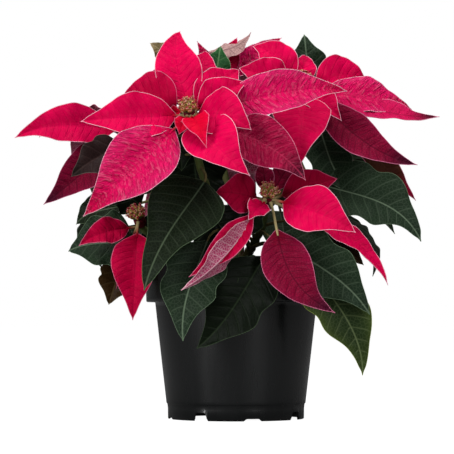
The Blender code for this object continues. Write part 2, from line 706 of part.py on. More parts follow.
def make_main_stem(finish):
    """The woody stem that stands in the soil, cut off above its branches."""
    points = [Vector((0, 0, MAIN_BOTTOM)), Vector((0, 0, MAIN_TOP - 3)), Vector((0, 0, MAIN_TOP))]
    bm = swept(points, [MAIN_RADIUS, MAIN_RADIUS, MAIN_RADIUS * 0.8], MAIN_SIDES)
    add_object("main_stem", bm, finish)


def make_leafy_stem(branch, leaves, finish):
    """A green branch with its leaves on their stalks, as one solid."""
    points = branch_path(branch)
    last = len(points) - 1
    radii = []
    for i in range(last + 1):
        radii.append(BRANCH_RADIUS + (BRANCH_TIP_RADIUS - BRANCH_RADIUS) * i / last)
    stem = add_object(f"leafy_stem_{branch.name}", swept(points, radii, TUBE_SIDES), finish)
    pieces = [add_object(name, blade_bmesh(blade, root, facing, seed))
              for name, blade, root, facing, seed in leaves]
    fuse(stem, pieces)


def make_bracts(branch, bracts, finish):
    """The bloom's red bracts round a short hub, as one solid."""
    facing = Vector(branch.facing).normalized()
    hub = Vector(branch.hub)
    half = facing * HUB_LENGTH / 2
    points = [hub - half, hub - half * 0.8, hub + half * 0.8, hub + half]
    radii = [BRANCH_TIP_RADIUS, HUB_RADIUS, HUB_RADIUS, HUB_RADIUS * 0.75]
    body = add_object(f"bracts_{branch.name}", swept(points, radii, TUBE_SIDES), finish)
    pieces = [add_object(name, blade_bmesh(blade, root, face, seed))
              for name, blade, root, face, seed in bracts]
    fuse(body, pieces)


def make_cyathia(branch, finish):
    """The cluster of small bud-like flowers in the middle of a bloom."""
    facing = Vector(branch.facing).normalized()
    turn = facing.to_track_quat("Z", "Y")
    seat = Vector(branch.hub) + facing * (HUB_LENGTH / 2 + FIT)
    points = [seat + facing * CUSHION_HEIGHT * share for share in (0.0, 0.5, 1.0)]
    body = add_object(f"cyathia_{branch.name}", swept(points, CUSHION_RADII, TUBE_SIDES), finish)
    pieces = []
    golden = math.pi * (3 - math.sqrt(5))
    for i in range(branch.buds):
        spread = math.sqrt((i + 0.5) / branch.buds)
        angle = i * golden
        way = turn @ Vector((math.cos(angle), math.sin(angle), 0.0))
        out = (facing + way * spread * BUD_LEAN).normalized()
        foot = seat + facing * BUD_FOOT + way * spread * BUD_CIRCLE
        tall = BUD_LENGTH - BUD_SHORTENING * spread
        bud = [foot, foot + out * tall * 0.65, foot + out * tall]
        pieces.append(add_object(f"{branch.name}.bud.{i}", swept(bud, BUD_RADII, 4)))
    fuse(body, pieces)


def main():
    """Build every piece of the potted plant."""
    for old in list(bpy.data.objects):
        bpy.data.objects.remove(old)
    make_pot(material("black_plastic", PLASTIC, 0.38))
    make_soil(material("peat", PEAT, 0.95))
    make_main_stem(material("bark", BARK, 0.8))
    red = material("red_bract", RED, 0.5)
    green = material("green_leaf", GREEN, 0.45)
    yellow = material("cyathium", BUD, 0.5)
    for branch in BRANCHES:
        bracts, leaves = branch_blades(branch)
        make_leafy_stem(branch, leaves, green)
        make_bracts(branch, bracts, red)
        make_cyathia(branch, yellow)


if __name__ == "__main__":
    main()
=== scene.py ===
"""Dressed model of a poinsettia in a black nursery pot.

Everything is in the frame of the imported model: metres, +Z up, the middle of the pot's base at
the origin, and the side of the plant that people see first towards -Y. Sizes and places in the
tables below are in millimetres. Each piece stands for one solid of the frame and keeps its form.
"""

import logging
import math
import random
from dataclasses import dataclass, field
from enum import Enum
from typing import Optional, Sequence

import bmesh
import bpy
import numpy as np
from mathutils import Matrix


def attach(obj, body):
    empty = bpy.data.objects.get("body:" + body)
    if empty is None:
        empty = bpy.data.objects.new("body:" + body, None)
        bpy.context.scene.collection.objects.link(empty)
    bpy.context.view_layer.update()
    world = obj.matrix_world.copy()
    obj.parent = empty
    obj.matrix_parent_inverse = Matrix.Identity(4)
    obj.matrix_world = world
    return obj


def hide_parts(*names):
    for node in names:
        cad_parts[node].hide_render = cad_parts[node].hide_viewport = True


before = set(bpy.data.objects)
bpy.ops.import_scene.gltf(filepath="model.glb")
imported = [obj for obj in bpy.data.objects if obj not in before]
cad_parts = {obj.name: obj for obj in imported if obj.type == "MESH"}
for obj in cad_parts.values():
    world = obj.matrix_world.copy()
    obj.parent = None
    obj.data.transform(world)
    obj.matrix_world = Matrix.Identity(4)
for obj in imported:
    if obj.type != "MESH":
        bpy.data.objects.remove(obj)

LOG = logging.getLogger("poinsettia")

MM = 0.001

Triple = tuple[float, float, float]
Outline = tuple[tuple[float, float], ...]
Colour = tuple[float, float, float]

FRONT: Triple = (0.0, -1.0, 0.25)
HIGH: Triple = (0.0, -0.7, 0.7)
UP: Triple = (0.0, 0.0, 1.0)

# Half width along a blade from its stalk to its tip, as a share of the widest half width
BRACT: Outline = ((0.0, 0.06), (0.15, 0.64), (0.37, 1.0), (0.60, 0.86), (0.84, 0.32), (1.0, 0.03))
LOBED: Outline = ((0.0, 0.07), (0.13, 0.70), (0.32, 1.0), (0.43, 0.84), (0.56, 0.90),
                  (0.78, 0.40), (1.0, 0.03))
BROAD: Outline = ((0.0, 0.10), (0.09, 0.70), (0.24, 1.0), (0.42, 0.90), (0.60, 0.52),
                  (0.84, 0.26), (1.0, 0.03))
NARROW: Outline = ((0.0, 0.06), (0.17, 0.64), (0.40, 1.0), (0.68, 0.68), (0.90, 0.20),
                   (1.0, 0.03))

# The lamps and the white room together light a surface that faces the camera this much more
# than they light the white behind it, so every colour seen in daylight is divided by it.
KEY_LIGHT = 1.40


def linear(hex_colour: str) -> Colour:
    """Turn an sRGB hex colour into linear light.

    Args:
        hex_colour: Six hex digits, such as "E3064E".

    Returns:
        Red, green and blue between 0 and 1.
    """
    channels = []
    for start in (0, 2, 4):
        value = int(hex_colour[start:start + 2], 16) / 255
        value = value / 12.92 if value <= 0.04045 else ((value + 0.055) / 1.055) ** 2.4
        channels.append(value)
    return tuple(channels)


def lit(hex_colour: str) -> np.ndarray:
    """A surface's own colour, from the colour that it shows under the lamps."""
    return np.array(linear(hex_colour)) / KEY_LIGHT


@dataclass(frozen=True)
class Tissue:
    """How one kind of blade is coloured, as sRGB hex values seen in the light.

    Attributes:
        middle: The upper side's main colour.
        root: The upper side at the stalk.
        tip: The upper side at the tip.
        edge: The upper side along the margins.
        under: The lower side.
        vein: The veins and the midrib on the upper side.
        under_vein: The veins and the fine net on the lower side.
        margin: The thin pale rim along the margins, a painted highlight where the thin edge catches the
            light; also painted on the tops of the creases.
        side_veins: How strongly the side veins show, from 0 to 1.
        net: How strongly the fine net shows on the upper side, from 0 to 1.
        rib: How strongly the midrib shows on the upper side, from 0 to 1.
        pucker: Height in mm of the blisters between the side veins; its square also sets how deep the
            crinkles are and how much paler their tops are painted, as a highlight.
    """

    middle: str
    root: str
    tip: str
    edge: str
    under: str
    vein: str
    under_vein: str
    margin: str
    side_veins: float
    net: float
    rib: float
    pucker: float


class Tone(Enum):
    """The kinds of bract and leaf on the plant. Several are lit or shaded copies of the rose bract and the
    green leaf, with light or shade painted into their colours, as marked below.
    """

    ROSE = Tissue("E4004E", "BE0030", "D80048", "E80450", "C2466E", "C20044", "F2B6C6",
                  "FFB6CC", 0.16, 0.08, 0.30, 0.35)
    INNER = Tissue("DE0230", "A8001C", "E4003C", "E4003C", "BE4064", "B80028", "EEB0C0",
                   "F07A9C", 0.10, 0.05, 0.30, 0.15)
    # Painted highlight: a lit copy of the rose bract, paler pink where a bract tilts to the light and shows
    # its gloss.
    PINK = Tissue("E60E5E", "D60048", "D20448", "EE3078", "CC5A80", "C20048", "F4BCCC",
                  "FFBACE", 0.34, 0.12, 0.45, 1.00)
    # Painted shade: a half-shaded copy of the rose bract.
    RUBY = Tissue("CA003E", "9C0026", "BC0038", "CE0846", "B03C60", "940030", "E4A0B4",
                  "EE7A9E", 0.22, 0.15, 0.40, 0.40)
    # Its dark maroon tip is painted deep shade.
    PLUM = Tissue("DC1258", "B60440", "36101E", "DE2466", "A83C5E", "78102E", "D89AAE",
                  "EC88A8", 0.30, 0.25, 0.60, 0.50)
    # Painted shade: a shaded crimson copy of the rose bract, with its tip painted in deep shade.
    VEINED = Tissue("A80A3E", "B0082E", "441226", "B81048", "A83C5E", "D83C66", "D89AAE",
                    "EC88A8", 0.30, 0.22, 0.50, 0.90)
    # Painted shade: a copy of the rose bract in deeper shade.
    WINE = Tissue("98002C", "74001A", "94002C", "A20436", "8A2848", "60001C", "D08CA0",
                  "D86088", 0.15, 0.12, 0.30, 0.25)
    # Painted shade: a copy of the rose bract in deep shade, darkest at the tip.
    CRIMSON = Tissue("840A30", "70041E", "4A1028", "92103C", "802644", "3C061A", "CC8CA2",
                     "D67698", 0.45, 0.50, 0.60, 0.60)
    NETTED = Tissue("C4063E", "A8002C", "B8083A", "CA0C48", "BC4470", "9A0030", "F4C8D2",
                    "F6B8C8", 0.25, 0.20, 0.40, 0.40)
    FADED = Tissue("C23C5C", "B85A60", "8E3040", "C05C70", "C49C98", "A04050", "8A6468",
                   "D8A0A4", 0.50, 0.35, 0.50, 0.30)
    TURNING = Tissue("46241A", "D00C4C", "B80C42", "5A3020", "54381E", "30180E", "8E6A44",
                     "DC7C98", 0.25, 0.20, 0.40, 0.40)
    OLIVE = Tissue("2A3A20", "262F14", "3A4A24", "4E5E2A", "56663A", "7E8E60", "A0AE84",
                   "98A850", 0.30, 0.15, 0.60, 0.45)
    GREEN = Tissue("233223", "1A2417", "263628", "253524", "46583E", "7C9076", "8A9E80",
                   "6E8468", 0.16, 0.10, 0.62, 0.50)
    DARK = Tissue("182114", "12180D", "1C281A", "1A2415", "36442C", "6C7E62", "7C8F70",
                  "5E7254", 0.12, 0.08, 0.55, 0.45)
    # Painted shade: a copy of the green leaf in deep shade, near black.
    NIGHT = Tissue("0C130A", "080D06", "10190E", "0E150C", "1C2616", "3C4A34", "4A5A40",
                   "42523A", 0.10, 0.05, 0.35, 0.35)
    FRESH = Tissue("1E4E28", "1A3A1C", "265C2E", "225427", "4A6E42", "7CA070", "8CAA80",
                   "88A880", 0.20, 0.10, 0.50, 0.25)
    SLATE = Tissue("2C1E1E", "241616", "201A18", "322424", "44362E", "54403C", "7C7064",
                   "66605A", 0.20, 0.15, 0.40, 0.30)
    BRONZE = Tissue("38240F", "2E1A0A", "402C18", "46321A", "54401E", "68583A", "86764E",
                    "7C7444", 0.25, 0.15, 0.45, 0.30)
    BUFF = Tissue("7A6A48", "5E5A34", "8E7A5C", "84744E", "9A8A6A", "A89A78", "A89A78",
                  "B8A888", 0.35, 0.20, 0.50, 0.25)


class Organ(Enum):
    """Bract or leaf: how far apart its side veins are in mm, and how most of them look.

    Attributes:
        vein_spacing: Distance between side veins in mm.
        tone: The colouring of most blades.
        under_strengths: How strongly side veins, net and midrib show on the lower side.
        stalk_colour: Colour of a long stalk.
    """

    BRACT = (6.0, Tone.ROSE, (0.55, 0.60, 0.60), "B8A878")
    LEAF = (8.5, Tone.GREEN, (0.40, 0.30, 0.80), "6E6440")

    def __init__(self, vein_spacing: float, tone: Tone, under_strengths: Triple,
                 stalk_colour: str) -> None:
        """Keep the organ's habits by name."""
        self.vein_spacing = vein_spacing
        self.tone = tone
        self.under_strengths = under_strengths
        self.stalk_colour = stalk_colour


@dataclass
class Blade:
    """One bract or leaf, in mm and degrees.

    Attributes:
        tip: Where the blade ends.
        wide: Its full width at the widest place.
        lift: How far its middle bulges towards the side that it faces.
        roll: Turn about the line from root to tip.
        twist: Turn that grows from root to tip.
        fold: Rise of each half from the midrib.
        wave: Height of the waves along the margins.
        bend: How far its middle bulges sideways.
        stalk: Share of the way that is stalk.
        outline: Its half widths along the way.
        at: Share of the branch at which a leaf grows.
        face: Direction that the upper side looks in.
        neck: Where the stalk ends and the leaf begins.
        tone: Its colouring, if it differs from most.
    """

    tip: Triple
    wide: float
    lift: float = 6.0
    roll: float = 0.0
    twist: float = 0.0
    fold: float = 14.0
    wave: float = 1.4
    bend: float = 0.0
    stalk: float = 0.14
    outline: Outline = BRACT
    at: float = 1.0
    face: Optional[Triple] = None
    neck: Optional[Triple] = None
    tone: Optional[Tone] = None


@dataclass
class Branch:
    """One flowering branch: its way up from the main stem, its bloom and its leaves."""

    name: str
    leaves_at: float
    bearing: float
    hub: Triple
    facing: Triple
    bracts: list[Blade]
    leaves: list[Blade]
    buds: int = 7


BRANCHES: tuple[Branch, ...] = (
    Branch("front_left", 128.0, 246.0, (-32, -60, 211), (-0.12, -0.80, 0.60), [
        Blade((-39, -33, 272), 33, lift=7, bend=-5, stalk=0.06, face=FRONT),
        Blade((-21, -26, 259), 26, lift=5, face=FRONT),
        Blade((2, -40, 244), 30, lift=5, stalk=0.07, face=FRONT),
        Blade((-55, -32, 248), 30, lift=5, face=FRONT, tone=Tone.RUBY),
        Blade((-79, -44, 222), 36, lift=7, bend=5, face=FRONT, tone=Tone.RUBY),
        Blade((76, -60, 227), 32, lift=9, bend=-3, stalk=0.16, face=FRONT, tone=Tone.PINK),
        Blade((47, -74, 165), 36, lift=7, bend=-5, stalk=0.22, face=FRONT, tone=Tone.VEINED),
        Blade((-102, -104, 139), 46, lift=12, bend=-3, face=FRONT, tone=Tone.PINK),
        Blade((-105, -84, 204), 34, lift=6, bend=-1, stalk=0.08, face=FRONT),
        Blade((9, -104, 166), 38, lift=9, bend=4, stalk=0.08, face=FRONT),
        Blade((10, -86, 198), 36, lift=7, bend=-3, stalk=0.07, face=FRONT),
        Blade((7, -64, 233), 26, lift=4, stalk=0.07, face=FRONT),
        Blade((-20, -98, 185), 20, lift=9, face=FRONT, tone=Tone.INNER),
        Blade((-39, -75, 196), 14, lift=2, face=FRONT, tone=Tone.INNER),
        Blade((-49, -56, 211), 10, lift=1, face=FRONT, tone=Tone.INNER),
    ], [
        Blade((-62, -92, 90), 52, neck=(-22, -56, 165), lift=7, bend=3, at=0.7, face=FRONT,
              outline=BROAD, tone=Tone.DARK),
        Blade((-115, -36, 170), 28, neck=(-80, -28, 193), lift=5, at=0.8, face=FRONT,
              outline=LOBED, tone=Tone.SLATE),
        Blade((-26, -14, 140), 46, neck=(-30, -12, 190), lift=4, at=0.6, face=FRONT, outline=LOBED,
              tone=Tone.NIGHT),
        Blade((-80, -30, 160), 36, neck=(-60, -24, 175), lift=5, at=0.75, face=FRONT,
              outline=LOBED, tone=Tone.NIGHT),
        Blade((-38, -36, 174), 34, neck=(-40, -30, 213), lift=3, at=0.9, face=FRONT, outline=LOBED,
              tone=Tone.NIGHT),
    ], buds=11),
    Branch("right", 140.0, 350.0, (46, -12, 234), (0.10, -0.55, 0.83), [
        Blade((12, 4, 266), 28, lift=5, bend=4, face=FRONT),
        Blade((2, -16, 248), 30, lift=5, face=FRONT),
        Blade((49, 4, 260), 20, lift=3, face=FRONT),
        Blade((94, 6, 238), 33, lift=6, bend=-5, face=FRONT),
        Blade((125, -6, 220), 31, lift=8, bend=3, face=(0.0, -0.9, 0.5), tone=Tone.PINK),
        Blade((144, -14, 214), 24, lift=3, bend=10, face=HIGH, tone=Tone.PLUM),
        Blade((73, -46, 208), 22, lift=5, face=FRONT),
        Blade((43, -62, 175), 42, lift=10, face=FRONT),
        Blade((126, -40, 178), 28, lift=8, bend=10, face=FRONT, tone=Tone.CRIMSON),
        Blade((128, -6, 155), 19, lift=6, stalk=0.3, face=FRONT, tone=Tone.TURNING),
        Blade((96, 42, 226), 32, lift=7, tone=Tone.RUBY),
    ], [
        Blade((129, -34, 125), 50, neck=(58, -24, 166), lift=8, bend=-6, at=0.7, face=(0.2, -0.9,
              0.4), outline=LOBED),
        Blade((112, 10, 164), 28, neck=(76, 6, 177), lift=4, at=0.75, face=(0.1, -0.9, 0.4),
              tone=Tone.DARK),
        Blade((84, -26, 159), 34, neck=(60, -8, 204), lift=3, bend=5, at=0.85, face=FRONT,
              outline=LOBED),
        Blade((38, -2, 170), 42, neck=(30, 0, 214), lift=4, at=0.85, face=FRONT, outline=LOBED,
              tone=Tone.NIGHT),
        Blade((60, -14, 130), 44, neck=(45, -12, 169), lift=5, at=0.6, face=FRONT, outline=LOBED,
              tone=Tone.NIGHT),
        Blade((88, 2, 202), 30, neck=(58, 2, 213), lift=5, at=0.9, face=FRONT, outline=LOBED,
              tone=Tone.NIGHT),
        Blade((100, 32, 102), 49, neck=(70, 16, 150), lift=8, at=0.55, face=(0.8, 0.0, 0.5),
              outline=LOBED),
        Blade((104, 40, 174), 41, neck=(62, 16, 190), lift=6, at=0.8, face=(0.3, 0.1, 0.9),
              outline=LOBED),
    ]),
    Branch("front_right", 112.0, 296.0, (22, -50, 154), (0.05, -0.85, 0.52), [
        Blade((18, -36, 180), 14, lift=3, face=FRONT, tone=Tone.CRIMSON),
        Blade((39, -32, 181), 16, lift=3, face=FRONT, tone=Tone.CRIMSON),
        Blade((70, -44, 168), 25, lift=4, face=FRONT, tone=Tone.WINE),
        Blade((-14, -56, 158), 30, lift=4, face=FRONT, tone=Tone.WINE),
        Blade((104, -60, 94), 18, lift=6, bend=-8, stalk=0.2, face=HIGH),
        Blade((66, -92, 75), 34, lift=7, bend=13, stalk=0.24, face=FRONT, tone=Tone.CRIMSON),
        Blade((-37, -104, 90), 22, lift=-7, roll=125, stalk=0.2, outline=NARROW, face=FRONT,
              tone=Tone.NETTED),
        Blade((8, -72, 138), 17, lift=3, face=FRONT),
        Blade((80, -88, 129), 36, lift=6, bend=-1, face=FRONT),
        Blade((-32, -92, 99), 20, lift=4, bend=-4, stalk=0.2, face=FRONT, tone=Tone.RUBY),
    ], [
        Blade((-36, -84, 56), 44, neck=(-20, -64, 124), lift=4, bend=4, at=0.5, face=FRONT,
              outline=LOBED),
        Blade((-27, -74, 51), 46, neck=(19, -70, 113), lift=3, bend=-4, at=0.35, face=FRONT,
              outline=LOBED, tone=Tone.NIGHT),
        Blade((91, -66, 74), 45, neck=(25, -60, 126), lift=5, bend=-4, at=0.6, face=FRONT,
              outline=LOBED),
        Blade((87, -52, 32), 41, neck=(44, -56, 114), lift=5, bend=-7, at=0.4, face=FRONT,
              outline=LOBED, tone=Tone.OLIVE),
        Blade((88, -50, 108), 26, neck=(53, -42, 135), lift=4, at=0.7, face=FRONT, outline=LOBED,
              tone=Tone.BRONZE),
        Blade((0, -62, 117), 38, neck=(4, -36, 150), lift=4, at=0.5, face=FRONT, outline=LOBED,
              tone=Tone.NIGHT),
        Blade((-30, -38, 122), 26, neck=(-8, -34, 142), lift=3, at=0.4, face=FRONT, outline=LOBED,
              tone=Tone.NIGHT),
        Blade((-17, -72, 69), 15, neck=(1, -69, 114), lift=2, at=0.35, face=FRONT, outline=NARROW,
              tone=Tone.NIGHT),
    ]),
    Branch("left", 118.0, 195.0, (-68, -15, 140), (-0.25, -0.75, 0.60), [
        Blade((-110, -32, 122), 20, lift=5, bend=2, face=FRONT, tone=Tone.RUBY),
        Blade((-84, -28, 92), 10, lift=4, outline=NARROW, face=FRONT, tone=Tone.WINE),
        Blade((-71, -60, 70), 34, lift=9, face=FRONT, tone=Tone.RUBY),
    ], [
        Blade((-119, -8, 119), 47, neck=(-71, -11, 125), lift=6, at=0.7, face=(-0.2, -0.9, 0.4),
              outline=LOBED),
        Blade((-115, 12, 139), 30, neck=(-82, 6, 152), lift=5, at=0.85, face=(-0.2, -0.8, 0.5),
              tone=Tone.DARK),
        Blade((-90, -15, 81), 28, neck=(-80, -10, 111), lift=2, at=0.6, face=FRONT, outline=LOBED,
              tone=Tone.BRONZE),
        Blade((-54, 5, 111), 35, neck=(-50, 9, 148), lift=3, at=0.45, face=FRONT, outline=LOBED,
              tone=Tone.NIGHT),
        Blade((-92, 0, 168), 30, neck=(-68, -2, 152), lift=4, at=0.95, face=FRONT, outline=LOBED,
              tone=Tone.NIGHT),
        Blade((-98, 30, 108), 44, neck=(-74, 16, 128), lift=7, at=0.6, face=(-0.8, 0.0, 0.5),
              outline=LOBED),
    ], buds=5),
    Branch("top", 148.0, 100.0, (-14, 40, 244), (0.0, 0.15, 0.98), [
        Blade((11, 16, 278), 16, neck=(-23, 22, 262), lift=3, bend=-3, roll=150, face=FRONT, tone=Tone.FADED),
        Blade((-28, 12, 271), 14, lift=4, face=FRONT, tone=Tone.PINK),
        Blade((1, 30, 276), 18, lift=4, face=FRONT, tone=Tone.RUBY),
        Blade((34, 46, 278), 18, lift=4, face=FRONT, tone=Tone.PINK),
        Blade((-52, 68, 252), 29, lift=5),
        Blade((-28, 104, 240), 33, lift=7),
        Blade((16, 104, 242), 33, lift=7),
        Blade((42, 78, 250), 27, lift=5, tone=Tone.RUBY),
        Blade((-64, 36, 250), 27, lift=5, tone=Tone.RUBY),
    ], [
        Blade((-11, 8, 267), 20, neck=(-15, 6, 240), lift=1, at=0.8, face=FRONT, tone=Tone.FRESH),
        Blade((-62, 74, 208), 46, neck=(-26, 52, 212), lift=8, at=0.7, face=UP),
        Blade((18, 104, 204), 46, neck=(0, 62, 212), lift=8, at=0.7, face=UP),
        Blade((26, 14, 196), 44, neck=(2, 28, 210), lift=6, at=0.65, face=UP, outline=LOBED),
    ]),
    Branch("back_right", 134.0, 52.0, (50, 70, 214), (0.25, 0.45, 0.86), [
        Blade((108, 50, 226), 32, lift=6),
        Blade((124, 90, 226), 33, lift=8),
        Blade((96, 138, 190), 39, lift=10),
        Blade((44, 148, 198), 39, lift=10),
        Blade((80, 94, 210), 24, lift=3, tone=Tone.INNER),
        Blade((22, 86, 220), 24, lift=3, tone=Tone.INNER),
    ], [
        Blade((118, 56, 134), 44, lift=10, at=0.6, face=(0.8, 0.3, 0.5), stalk=0.3),
        Blade((88, 112, 100), 46, lift=10, at=0.5, face=(0.5, 0.8, 0.5), stalk=0.3),
        Blade((38, 128, 108), 44, lift=10, at=0.55, face=(0.2, 0.9, 0.5), stalk=0.3),
        Blade((118, 88, 150), 44, neck=(78, 74, 178), lift=7, at=0.8, face=(0.5, 0.3, 0.8)),
        Blade((66, 126, 150), 44, neck=(54, 88, 178), lift=7, at=0.8, face=(0.1, 0.5, 0.8)),
        Blade((50, 36, 279), 32, neck=(54, 40, 240), lift=2, at=0.88, face=FRONT, outline=LOBED),
    ]),
    Branch("back_left", 126.0, 160.0, (-74, 36, 212), (-0.30, 0.10, 0.94), [
        Blade((-158, -2, 200), 31, lift=6, bend=5, face=FRONT),
        Blade((-138, 6, 153), 32, lift=7, bend=-3, face=FRONT, tone=Tone.CRIMSON),
        Blade((-62, 16, 270), 15, neck=(-46, 20, 258), lift=2, face=FRONT, tone=Tone.BUFF),
        Blade((-146, 60, 206), 34, lift=9),
        Blade((-124, 104, 190), 37, lift=9),
        Blade((-82, 118, 204), 34, lift=8, tone=Tone.RUBY),
        Blade((-122, 36, 218), 27, lift=4, tone=Tone.INNER),
    ], [
        Blade((-118, 56, 124), 44, lift=9, at=0.6, face=(-0.8, 0.2, 0.5), stalk=0.3),
        Blade((-98, 96, 100), 34, lift=9, at=0.5, face=(-0.5, 0.7, 0.5), stalk=0.3),
        Blade((-118, 48, 166), 41, neck=(-92, 40, 176), lift=7, at=0.85, face=(-0.5, 0.1, 0.8)),
        Blade((-104, 92, 152), 41, neck=(-78, 58, 174), lift=7, at=0.8, face=(-0.2, 0.4, 0.8)),
    ]),
    Branch("back", 116.0, 98.0, (-20, 92, 184), (-0.10, 0.70, 0.70), [
        Blade((-74, 132, 180), 34, lift=8),
        Blade((-40, 160, 150), 37, lift=10),
        Blade((18, 156, 152), 37, lift=10),
        Blade((34, 124, 176), 27, lift=5, tone=Tone.INNER),
        Blade((-72, 120, 146), 32, lift=7, tone=Tone.RUBY),
    ], [
        Blade((-44, 122, 78), 44, lift=9, at=0.5, face=(-0.2, 0.9, 0.4), stalk=0.3),
        Blade((10, 126, 74), 44, lift=9, at=0.45, face=(0.1, 0.9, 0.4), stalk=0.3),
        Blade((-62, 96, 108), 30, neck=(-34, 66, 142), lift=6, at=0.6, face=(-0.3, 0.7, 0.6), tone=Tone.DARK),
    ]),
)


def unit(vector: np.ndarray) -> np.ndarray:
    """Scale each vector of an array to length 1."""
    return vector / np.linalg.norm(vector, axis=-1, keepdims=True)


def smoothstep(low: float, high: float, value: np.ndarray) -> np.ndarray:
    """Rise smoothly from 0 at low to 1 at high."""
    part = np.clip((value - low) / (high - low), 0.0, 1.0)
    return part * part * (3 - 2 * part)


def mix(first: np.ndarray, second: np.ndarray, part: np.ndarray) -> np.ndarray:
    """Blend two colours by an array of shares."""
    return first + (second - first) * part[..., None]


@dataclass
class Cubic:
    """A cubic curve with four control points."""

    a: np.ndarray
    b: np.ndarray
    c: np.ndarray
    d: np.ndarray

    def points(self, t: np.ndarray) -> np.ndarray:
        """Points at the shares t of the curve's parameter."""
        t = t[:, None]
        s = 1.0 - t
        return self.a * s ** 3 + self.b * 3 * s * s * t + self.c * 3 * s * t * t + self.d * t ** 3

    def ways(self, t: np.ndarray) -> np.ndarray:
        """Unit directions of the curve at the shares t."""
        t = t[:, None]
        s = 1.0 - t
        first = (self.b - self.a) * 3 * s * s
        return unit(first + (self.c - self.b) * 6 * s * t + (self.d - self.c) * 3 * t * t)


def smooth_through(places: np.ndarray, values: np.ndarray, at: np.ndarray) -> np.ndarray:
    """Read a smooth curve that passes through given values.

    Args:
        places: Rising parameters of the known values.
        values: The known values, numbers or points.
        at: Parameters at which to read the curve.

    Returns:
        The values at those parameters.
    """
    slopes = np.gradient(values, places, axis=0)
    i = np.clip(np.searchsorted(places, at, side="right") - 1, 0, len(places) - 2)
    gap = places[i + 1] - places[i]
    t = (at - places[i]) / gap
    if values.ndim > 1:
        t = t[:, None]
        gap = gap[:, None]
    low = (2 * t ** 3 - 3 * t ** 2 + 1) * values[i] + (t ** 3 - 2 * t ** 2 + t) * gap * slopes[i]
    high = (3 * t ** 2 - 2 * t ** 3) * values[i + 1] + (t ** 3 - t ** 2) * gap * slopes[i + 1]
    return low + high


class MeshStore:
    """Gathers closed shells with their colours, and turns them into one object."""

    COLOURS = ("tissue", "veins", "rim")
    VECTORS = ("vein_mm", "flat_mm")
    NO_VEINS = np.array([99.0, 0.5, 99.0])

    def __init__(self) -> None:
        """Start an empty store."""
        self.points: list[np.ndarray] = []
        self.faces: list[np.ndarray] = []
        self.layers: dict[str, list[np.ndarray]] = {}
        self.count = 0

    def add(self, points: np.ndarray, faces: Sequence, **layers: np.ndarray) -> None:
        """Add one shell.

        Args:
            points: Its corners in mm, one row each.
            faces: Arrays of corner numbers, each array of one number of corners per face.
            **layers: Values per corner, or one value for all of them.
        """
        self.points.append(points)
        for group in faces:
            self.faces.extend((group + self.count).tolist())
        for name in self.COLOURS + self.VECTORS:
            size = 4 if name in self.COLOURS else 3
            value = np.asarray(layers.get(name, np.zeros(size)), dtype=float)
            rows = np.broadcast_to(value, (len(points), size))
            self.layers.setdefault(name, []).append(rows)
        self.count += len(points)

    def add_rings(self, rings: np.ndarray, tissue: np.ndarray) -> None:
        """Add a closed skin over rings of points, with a flat fan at each end.

        Args:
            rings: Points in mm, as rings by sides by 3.
            tissue: Colour and alpha of each ring.
        """
        count, sides = rings.shape[:2]
        grid = np.arange(count * sides).reshape(count, sides)
        around = np.roll(grid, -1, axis=1)
        quads = np.stack([grid[:-1], around[:-1], around[1:], grid[1:]], axis=-1).reshape(-1, 4)
        ends = np.array([count * sides, count * sides + 1])
        first = np.stack([np.full(sides, ends[0]), around[0], grid[0]], axis=-1)
        last = np.stack([np.full(sides, ends[1]), grid[-1], around[-1]], axis=-1)
        middles = rings[[0, -1]].mean(axis=1)
        points = np.concatenate([rings.reshape(-1, 3), middles])
        colour = np.concatenate([np.repeat(tissue, sides, axis=0), tissue[[0, -1]]])
        self.add(points, [quads, first, last], tissue=colour, vein_mm=self.NO_VEINS,
                 flat_mm=points)

    def add_tube(self, path: np.ndarray, radii: np.ndarray, sides: int,
                 tissue: np.ndarray) -> None:
        """Add a round bar along a path.

        Args:
            path: Its points in mm.
            radii: The radius at each point.
            sides: Number of sides.
            tissue: Colour and alpha at each point.
        """
        ways = unit(np.gradient(path, axis=0))
        reference = np.array([0.31, 0.95, 0.05])
        across = unit(np.cross(ways, reference))
        up = np.cross(across, ways)
        angles = np.arange(sides) * math.tau / sides
        out = (across[:, None] * np.cos(angles)[None, :, None]
               - up[:, None] * np.sin(angles)[None, :, None])
        self.add_rings(path[:, None] + out * radii[:, None, None], tissue)

    def add_turned(self, profile: Sequence[tuple[float, float]], foot: np.ndarray,
                   way: np.ndarray, sides: int, tissue: np.ndarray) -> None:
        """Add a turned body on an axis.

        Args:
            profile: Pairs of distance along the axis and radius, in mm.
            foot: Where the axis starts.
            way: Its unit direction.
            sides: Number of sides.
            tissue: Colour and alpha at each pair.
        """
        steps = np.array(profile)
        self.add_tube(foot + way * steps[:, :1], steps[:, 1], sides, tissue)

    def build(self, name: str, material: bpy.types.Material) -> bpy.types.Object:
        """Make the object.

        Args:
            name: Its name.
            material: Its finish.

        Returns:
            A smooth-shaded mesh object in metres at the origin.
        """
        mesh = bpy.data.meshes.new(name)
        mesh.from_pydata((np.concatenate(self.points) * MM).tolist(), [], self.faces)
        for layer, rows in self.layers.items():
            kind = "FLOAT_COLOR" if layer in self.COLOURS else "FLOAT_VECTOR"
            field_name = "color" if layer in self.COLOURS else "vector"
            made = mesh.attributes.new(layer, kind, "POINT")
            made.data.foreach_set(field_name, np.concatenate(rows).ravel())
        mesh.shade_smooth()
        mesh.set_sharp_from_angle(angle=math.radians(50))
        mesh.materials.append(material)
        made_object = bpy.data.objects.new(name, mesh)
        bpy.context.scene.collection.objects.link(made_object)
        return made_object


